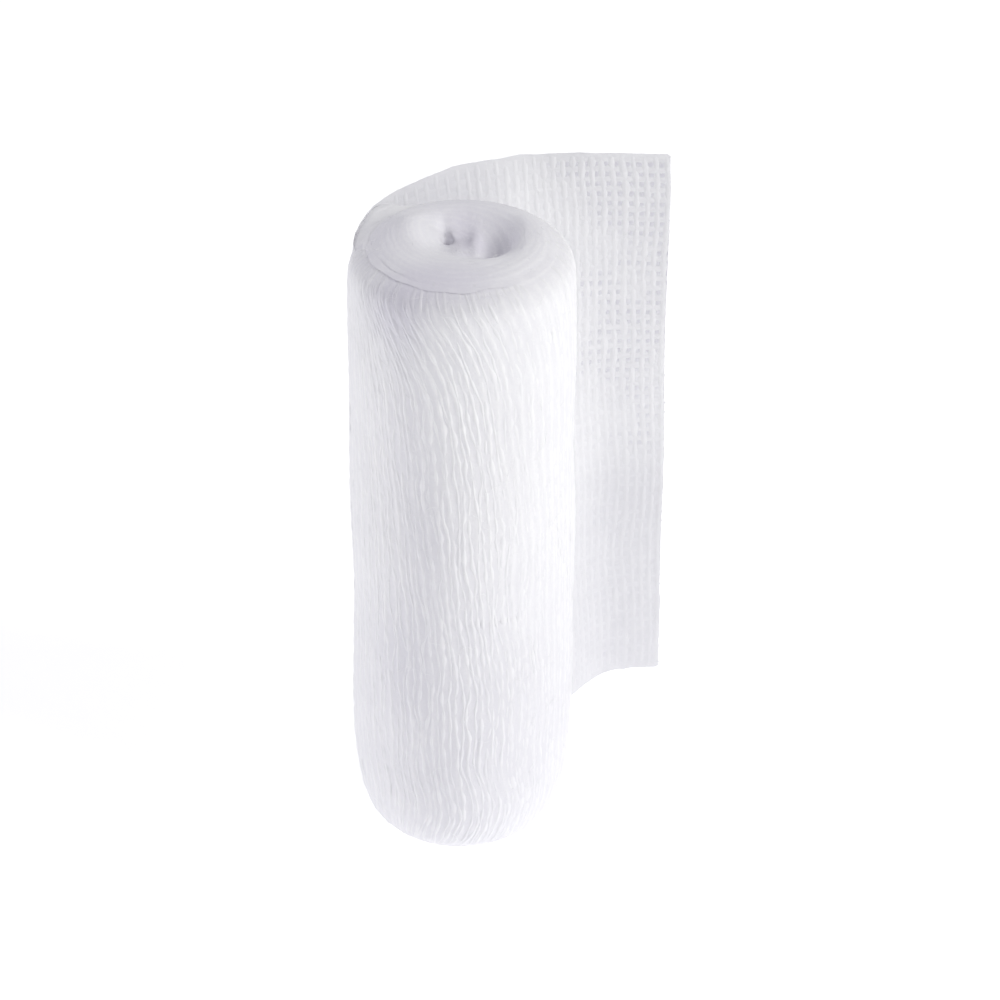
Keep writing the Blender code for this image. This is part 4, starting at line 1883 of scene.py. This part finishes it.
@dataclass
class LooseEnd:
    """The loose end: its yarns, its selvedges and the veil of fuzz between them.

    Attributes:
        form: The loose end's surface.
        weave: The strip's weave.
        step: The length of a yarn's segments.
        up_half_width: Half an up yarn's width.
        along_half_width: Half the width of a yarn along the strip.
        rise: How far the yarns stand up on each side of the cloth.
        sway: How far the yarns go in and out at each crossing.
        first: The first up yarn's place, as a share of the pitch from the cut edge.
        wave_run: The length that counts as one turn for the yarns' waves.
        slant: How far the up yarns lean back at the upper selvedge near the roll.
        slanted: Where across the strip they do.
        near_roll: Where they no longer do.
        slant_begins: Where they start to.
        comes_out: Where the yarns come out of the roll.
        ease: The up yarns' long waves.
        small: Their short waves.
        row_waves: The waves of the yarns along the strip.
    """

    form: LooseForm
    weave: Weave
    step: float = 0.6 * MM
    up_half_width: float = 0.52 * MM
    along_half_width: float = 0.45 * MM
    rise: float = 0.06 * MM
    sway: float = 0.012 * MM
    first: float = 0.35
    wave_run: float = 160.0 * MM
    slant: float = -6.5 * MM
    slanted: Ramp = Ramp(0.76, 0.24)
    near_roll: Ramp = Ramp(12.0 * MM, 26.0 * MM)
    slant_begins: Ramp = Ramp(3.0 * MM, 14.0 * MM)
    comes_out: Ramp = Ramp(2.4 * MM, 4.0 * MM)
    ease: Ripples = Ripples(0.30 * MM, 3, 26.0 * MM, 61)
    small: Ripples = Ripples(0.12 * MM, 16, 9.0 * MM, 67, 20)
    row_waves: Ripples = Ripples(0.22 * MM, 6, 30.0 * MM, 71)

    def sideways(self, distance: Array, up: Array) -> Array:
        """How far the up yarns stand from their places along the strip."""
        height = up * STRIP_WIDTH
        turn = distance / self.wave_run
        near_roll = 1 - self.near_roll.at(distance)
        slant = self.slant * self.slanted.at(up) * near_roll * self.slant_begins.at(distance)
        off_edge = Ramp(LOOSE_LENGTH, -6.0 * MM).at(distance)
        waves = self.ease.at(turn, height) + self.small.at(turn, height)
        return slant + waves * (0.35 + 0.65 * off_edge)

    def begun(self, distance: Array) -> Array:
        """How far the yarns stand out, from a little where the loose end leaves the roll to 1."""
        return 0.35 + 0.65 * self.comes_out.at(distance)

    def fullness(self, rng: np.random.Generator, count: int, along: Array) -> Array:
        """How thick yarns are along their way, about 1."""
        slubs = 1 + 0.20 * wander(rng, count, along, SLUB)
        return slubs * (1 + 0.12 * wander(rng, count, along, NUB))

    def build_yarns(
        self, name: str, points: Array, out: Array, width: Array, rise: Array, material: Material
    ) -> Piece:
        """Makes yarns that stand up on both sides of the cloth and taper at their tips.

        Args:
            name: The piece's name.
            points: Their middle lines.
            out: The directions that face out of the cloth there.
            width: Half their widths.
            rise: How far they stand up.
            material: Their material.

        Returns:
            The piece.
        """
        parts = MeshParts()
        taper = np.ones(points.shape[1])
        taper[[0, -1]] = 0.1
        for side in (out, -out):
            strips(parts, points, side, width * taper, rise * taper, Section.FREE.value)
        return parts.build(name, material)

    def build_up(self, material: Material) -> Piece:
        """Makes the up yarns."""
        rng = Seed.LOOSE_UP_YARNS.draws()
        count = int(LOOSE_LENGTH / self.weave.loose_pitch)
        places = (LOOSE_LENGTH - (np.arange(count) + self.first) * self.weave.loose_pitch)[:, None]
        ups = np.linspace(0.0, 1.0, int(STRIP_WIDTH / self.step))[None]
        distance = places + self.sideways(places, ups)
        distance = distance + wander(rng, count, ups * STRIP_WIDTH, 8.0 * MM) * 0.07 * MM
        number = ups * self.weave.rows - 0.5
        lift = self.sway * np.cos(math.pi * (number + np.arange(count)[:, None]))
        points, out = self.form.point(distance, np.broadcast_to(ups, distance.shape), lift)
        full = self.fullness(rng, count, ups * STRIP_WIDTH)
        width = self.up_half_width * full * rng.uniform(0.85, 1.15, (count, 1))
        rise = self.rise * full * self.begun(distance)
        return self.build_yarns("loose_end_up_yarns", points, out, width, rise, material)

    def build_along(self, material: Material) -> Piece:
        """Makes the yarns along the strip, with the close ones of the selvedges."""
        rng = Seed.LOOSE_ALONG_YARNS.draws()
        ups = self.weave.row_share(np.arange(self.weave.rows))
        selvedge = np.array([0.0022, 0.0075])
        ups = np.concatenate([selvedge, ups, 1 - selvedge[::-1]])[:, None]
        numbers = np.concatenate([[0, 1], np.arange(self.weave.rows), [0, 1]])[:, None]
        count = len(ups)
        ends = LOOSE_LENGTH + rng.uniform(0.0, 0.25, (count, 1)) * MM
        share = np.linspace(0.0, 1.0, int(LOOSE_LENGTH / self.step))[None]
        distance = share * ends
        rise = self.row_waves.at(distance / self.wave_run, ups * STRIP_WIDTH)
        rise = rise + wander(rng, count, distance, 6.0 * MM) * 0.09 * MM
        rise *= smooth_step(np.minimum(ups, 1 - ups) / 0.02)
        up = ups + rise / STRIP_WIDTH
        yarn = (LOOSE_LENGTH - distance) / self.weave.loose_pitch - self.first
        lift = -self.sway * np.cos(math.pi * (yarn + numbers))
        points, out = self.form.point(distance, up, lift)
        full = self.fullness(rng, count, distance)
        width = self.along_half_width * full
        rise = self.rise * 0.5 * full * self.begun(distance)
        return self.build_yarns("loose_end_along_yarns", points, out, width, rise, material)

    def build_veil(self, material: Material) -> Piece:
        """Makes the cloth between the yarns."""
        distance = np.linspace(0.0, LOOSE_LENGTH, 110)[:, None]
        ups = np.linspace(0.001, 0.999, 130)[None]
        points, _ = self.form.point(distance, ups)
        parts = MeshParts()
        parts.add(points, grid_quads(*points.shape[:2]))
        place = distance + 0 * ups
        for _ in range(7):
            place = distance - self.sideways(place, ups)
        yarn = (LOOSE_LENGTH - place) / self.weave.loose_pitch
        row = np.broadcast_to(ups * self.weave.rows - 0.5, points.shape[:2])
        parts.weave = np.stack([yarn - self.first, row], axis=-1).reshape(-1, 2)
        return parts.build("loose_end_cloth", material)


# --- Stray fibres ---


@dataclass(frozen=True)
class Fluff:
    """A group of fibres of one kind.

    Attributes:
        count: How many there are.
        shortest: The shortest one.
        longest: The longest one.
        rise: About how far they stand off, as a share of their length.
    """

    count: int
    shortest: float
    longest: float
    rise: float


@dataclass
class StrayFibres:
    """Fine fibres that stand off the yarns.

    Attributes:
        outer: The outer turn.
        loose: The loose end.
        end_face: The upper end.
        half_thickness: Half a fibre's thickness.
        points_each: How many points a fibre has.
        sides: How many sides its section has.
        guide: A direction that no fibre runs along for long.
        floor_gap: How far fibres stay above the floor.
        side_depth: How deep they start in the roll's side.
        foot_radius: The radius on the lower end from which they grow.
        rim_radius: The radius on the upper end up to which they do.
        end_reach: The radius within which they grow on the upper end.
        on_side: The fibres on the roll's side.
        on_end: The fibres on its upper end.
        on_loose: The fibres on the loose end.
        on_edge: The fibres at its cut edge.
    """

    outer: OuterTurn
    loose: LooseEnd
    end_face: EndFace
    half_thickness: float = 0.018 * MM
    points_each: int = 7
    sides: int = 3
    guide: tuple[float, float, float] = (0.31, 0.24, 0.92)
    floor_gap: float = 0.08 * MM
    side_depth: float = 0.22 * MM
    foot_radius: float = 14.4 * MM
    rim_radius: float = 15.0 * MM
    end_reach: float = 14.5 * MM
    on_side: Fluff = Fluff(260, 1.2 * MM, 4.0 * MM, 0.025)
    on_end: Fluff = Fluff(70, 0.8 * MM, 2.4 * MM, 0.06)
    on_loose: Fluff = Fluff(260, 1.0 * MM, 3.5 * MM, 0.06)
    on_edge: Fluff = Fluff(150, 0.4 * MM, 1.1 * MM, 0.2)

    def grow(
        self, parts: MeshParts, rng: np.random.Generator, roots: Array, out: Array, kind: Fluff
    ) -> None:
        """Adds fibres that curl away from their roots.

        Args:
            parts: Where they are added.
            rng: The source of random numbers.
            roots: Where they start.
            out: The directions that face out there.
            kind: Their sizes.
        """
        count = len(roots)
        side = unit(np.cross(out, rng.normal(size=(count, 3))))
        other = np.cross(out, side)
        reach = rng.uniform(kind.shortest, kind.longest, (count, 1, 1))
        share = np.linspace(0.0, 1.0, self.points_each)[None, :, None]
        bend = rng.normal(0.0, 0.45, (count, 1, 1))
        lift = rng.uniform(0.2, 1.0, (count, 1, 1)) * kind.rise
        wave = rng.uniform(0.5, 1.6, (count, 1, 1))
        phase = rng.uniform(0, TAU, (count, 1, 1))
        swing = 0.10 * (np.sin(TAU * wave * share + phase) - np.sin(phase))
        courses = (
            roots[:, None]
            + side[:, None] * reach * share
            + other[:, None] * reach * (bend * share**2 + swing)
            + out[:, None] * reach * lift * np.sin(math.pi * share * 0.85)
        )
        courses[..., 2] = np.maximum(courses[..., 2], self.floor_gap)
        taper = np.sin(np.linspace(0.35, math.pi - 0.25, self.points_each))[None]
        half = self.half_thickness * rng.uniform(0.7, 1.2, (count, 1)) * (0.45 + 0.55 * taper)
        guide = np.broadcast_to(np.array(self.guide), courses.shape)
        tubes(parts, courses, guide, half, self.sides)

    def build_on_roll(self, material: Material) -> Piece:
        """Makes the fibres on the roll's side and ends."""
        rng = Seed.ROLL_FIBRES.draws()
        form = self.outer.form
        parts = MeshParts()
        count = self.on_side.count
        start = form.station_at_radius(self.foot_radius, upper=False)
        stop = form.station_at_radius(self.rim_radius, upper=True)
        roots, out = form.point(
            rng.uniform(start, stop, count), rng.uniform(0.0, 1.0, count), self.side_depth
        )
        self.grow(parts, rng, roots, out, self.on_side)
        count = self.on_end.count
        radius = self.end_reach * np.sqrt(rng.uniform(0.0, 1.0, count))
        roots = self.end_face.point(radius, rng.uniform(0.0, 1.0, count))
        up = unit(roots * np.array([8.0, 8.0, 0.0]) + np.array([0.0, 0.0, 1.0]))
        self.grow(parts, rng, roots, up, self.on_end)
        return parts.build("stray_fibres_on_roll", material)

    def build_on_loose_end(self, material: Material) -> Piece:
        """Makes the fibres on the loose end and its edges."""
        rng = Seed.LOOSE_FIBRES.draws()
        parts = MeshParts()
        count = self.on_loose.count
        roots, out = self.loose.form.point(
            rng.uniform(2 * MM, LOOSE_LENGTH, count), rng.uniform(0.0, 1.0, count)
        )
        out = out * rng.choice([-1.0, 1.0], (count, 1))
        self.grow(parts, rng, roots, out, self.on_loose)
        count = self.on_edge.count
        edge, out = self.loose.form.point(
            LOOSE_LENGTH - rng.uniform(0, 0.6, count) * MM, rng.uniform(0.0, 1.0, count)
        )
        self.grow(parts, rng, edge, out, self.on_edge)
        return parts.build("stray_fibres_on_loose_end", material)


# --- Floor, light and camera ---


@dataclass
class Studio:
    """A pale floor, soft light and the camera.

    Attributes:
        floor_reach: Half the floor's width.
        floor_drop: How far it lies below the roll.
        target: What the camera looks at.
        elevation: How far above the level it stands, in radians.
        distance: How far it stands from the target.
        lens: Its focal length in mm.
        sensor: The width of its sensor in mm.
        low_sky: The sky's colour at the level.
        high_sky: Its colour above.
    """

    floor_reach: float = 9.0
    floor_drop: float = 0.02 * MM
    target: tuple[float, float, float] = (5.9 * MM, 0.0, 59.23 * MM)
    elevation: float = 0.5662
    distance: float = 711.2 * MM
    lens: float = 158.85
    sensor: float = 36.0
    low_sky: Colour = (0.426, 0.426, 0.436)
    high_sky: Colour = (0.462, 0.460, 0.490)

    def build_floor(self, finish: FloorFinish) -> None:
        """Lays the floor."""
        builder = bmesh.new()
        bmesh.ops.create_grid(builder, x_segments=24, y_segments=24, size=self.floor_reach)
        mesh = bpy.data.meshes.new("studio_floor")
        builder.to_mesh(mesh)
        builder.free()
        mesh.materials.append(finish.make())
        floor = link("studio_floor", mesh)
        floor.location.z = -self.floor_drop

    def add_light(
        self,
        name: str,
        place: tuple[float, float, float],
        size: tuple[float, float],
        power: float,
        colour: Colour,
    ) -> None:
        """Hangs one soft light that looks at the roll.

        Args:
            name: The light's name.
            place: Where it hangs.
            size: Its width and height.
            power: Its power in watts.
            colour: Its colour.
        """
        data = bpy.data.lights.new(name, "AREA")
        data.shape = "RECTANGLE"
        data.size, data.size_y = size
        data.energy = power
        data.color = colour
        item = link(name, data)
        item.location = place
        towards = Vector(self.target) - Vector(place)
        item.rotation_euler = towards.to_track_quat("-Z", "Y").to_euler()

    def light(self) -> None:
        """Hangs the lights, sets the sky and keeps the colours plain."""
        warm, cool = (1.0, 0.999, 0.968), (0.98, 0.98, 1.0)
        self.add_light("key", (1.25, -0.42, 0.90), size=(0.6, 0.6), power=10.4, colour=warm)
        self.add_light("left_fill", (-1.30, 0.25, 0.35), size=(0.7, 0.6), power=4.1, colour=cool)
        world = bpy.data.worlds.new("studio")
        world.use_nodes = True
        sky = world.node_tree.nodes["Background"]
        sky.inputs["Strength"].default_value = 1.0
        links, nodes = world.node_tree.links, world.node_tree.nodes
        way = nodes.new("ShaderNodeTexCoord")
        parts = nodes.new("ShaderNodeSeparateXYZ")
        ramp = nodes.new("ShaderNodeValToRGB")
        stops = ((0.0, self.low_sky), (0.8, self.high_sky))
        for element, (height, colour) in zip(ramp.color_ramp.elements, stops):
            element.position = height
            element.color = (*colour, 1.0)
        links.new(way.outputs["Generated"], parts.inputs[0])
        links.new(parts.outputs["Z"], ramp.inputs[0])
        links.new(ramp.outputs["Color"], sky.inputs["Color"])
        scene = bpy.context.scene
        scene.world = world
        scene.view_settings.view_transform = "Standard"
        scene.view_settings.look = "None"

    def place_camera(self) -> None:
        """Sets up the camera."""
        data = bpy.data.cameras.new("camera")
        data.lens = self.lens
        data.sensor_width = self.sensor
        data.sensor_fit = "HORIZONTAL"
        data.clip_start = 0.01
        data.clip_end = 50.0
        item = link("camera", data)
        back = Vector((0.0, -math.cos(self.elevation), math.sin(self.elevation)))
        item.location = Vector(self.target) + back * self.distance
        item.rotation_euler = (math.pi / 2 - self.elevation, 0.0, 0.0)
        bpy.context.scene.camera = item


def settle(piece: Piece) -> Piece:
    """Makes a piece ride on the roll's body."""
    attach(piece, BODY)
    LOG.info("%s rides on %s", piece.name, BODY)
    return piece


def main() -> None:
    """Builds the roll, its loose end and the studio, in order."""
    logging.basicConfig(level=logging.INFO, format="%(name)s: %(message)s")
    weave = Weave()
    form = RollForm()
    end_face = EndFace(form)
    outer = OuterTurn(form, weave)
    loose = LooseEnd(LooseForm(form), weave)
    fibres = StrayFibres(outer, loose, end_face)

    wound = WoundTurns(form, outer)
    cloth = WOUND_CLOTH.make()
    body = settle(wound.build(cloth))
    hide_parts("wound_roll")
    settle(outer.build_up(UNDER_YARNS, end_face, UNDER_YARN.make()))
    settle(outer.build_up(OUTER_YARNS, end_face, UP_YARN.make()))
    edge = END_TURN.make()
    settle(end_face.build_face(wound, cloth))
    settle(end_face.build_edges(edge))
    settle(SpreadEdge(form, loose.form, end_face).build(SPREAD_EDGE.make()))
    settle(Foot(form).build(edge))

    veil = settle(loose.build_veil(VEIL.make()))
    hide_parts("loose_end")
    ups = settle(loose.build_up(LOOSE_UP_YARN.make()))
    alongs = settle(loose.build_along(LOOSE_ALONG_YARN.make()))
    fibre = FIBRE.make()
    settle(fibres.build_on_roll(fibre))
    strays = settle(fibres.build_on_loose_end(fibre))

    studio = Studio()
    studio.build_floor(FloorFinish())
    studio.light()
    studio.place_camera()


if __name__ == "__main__":
    main()
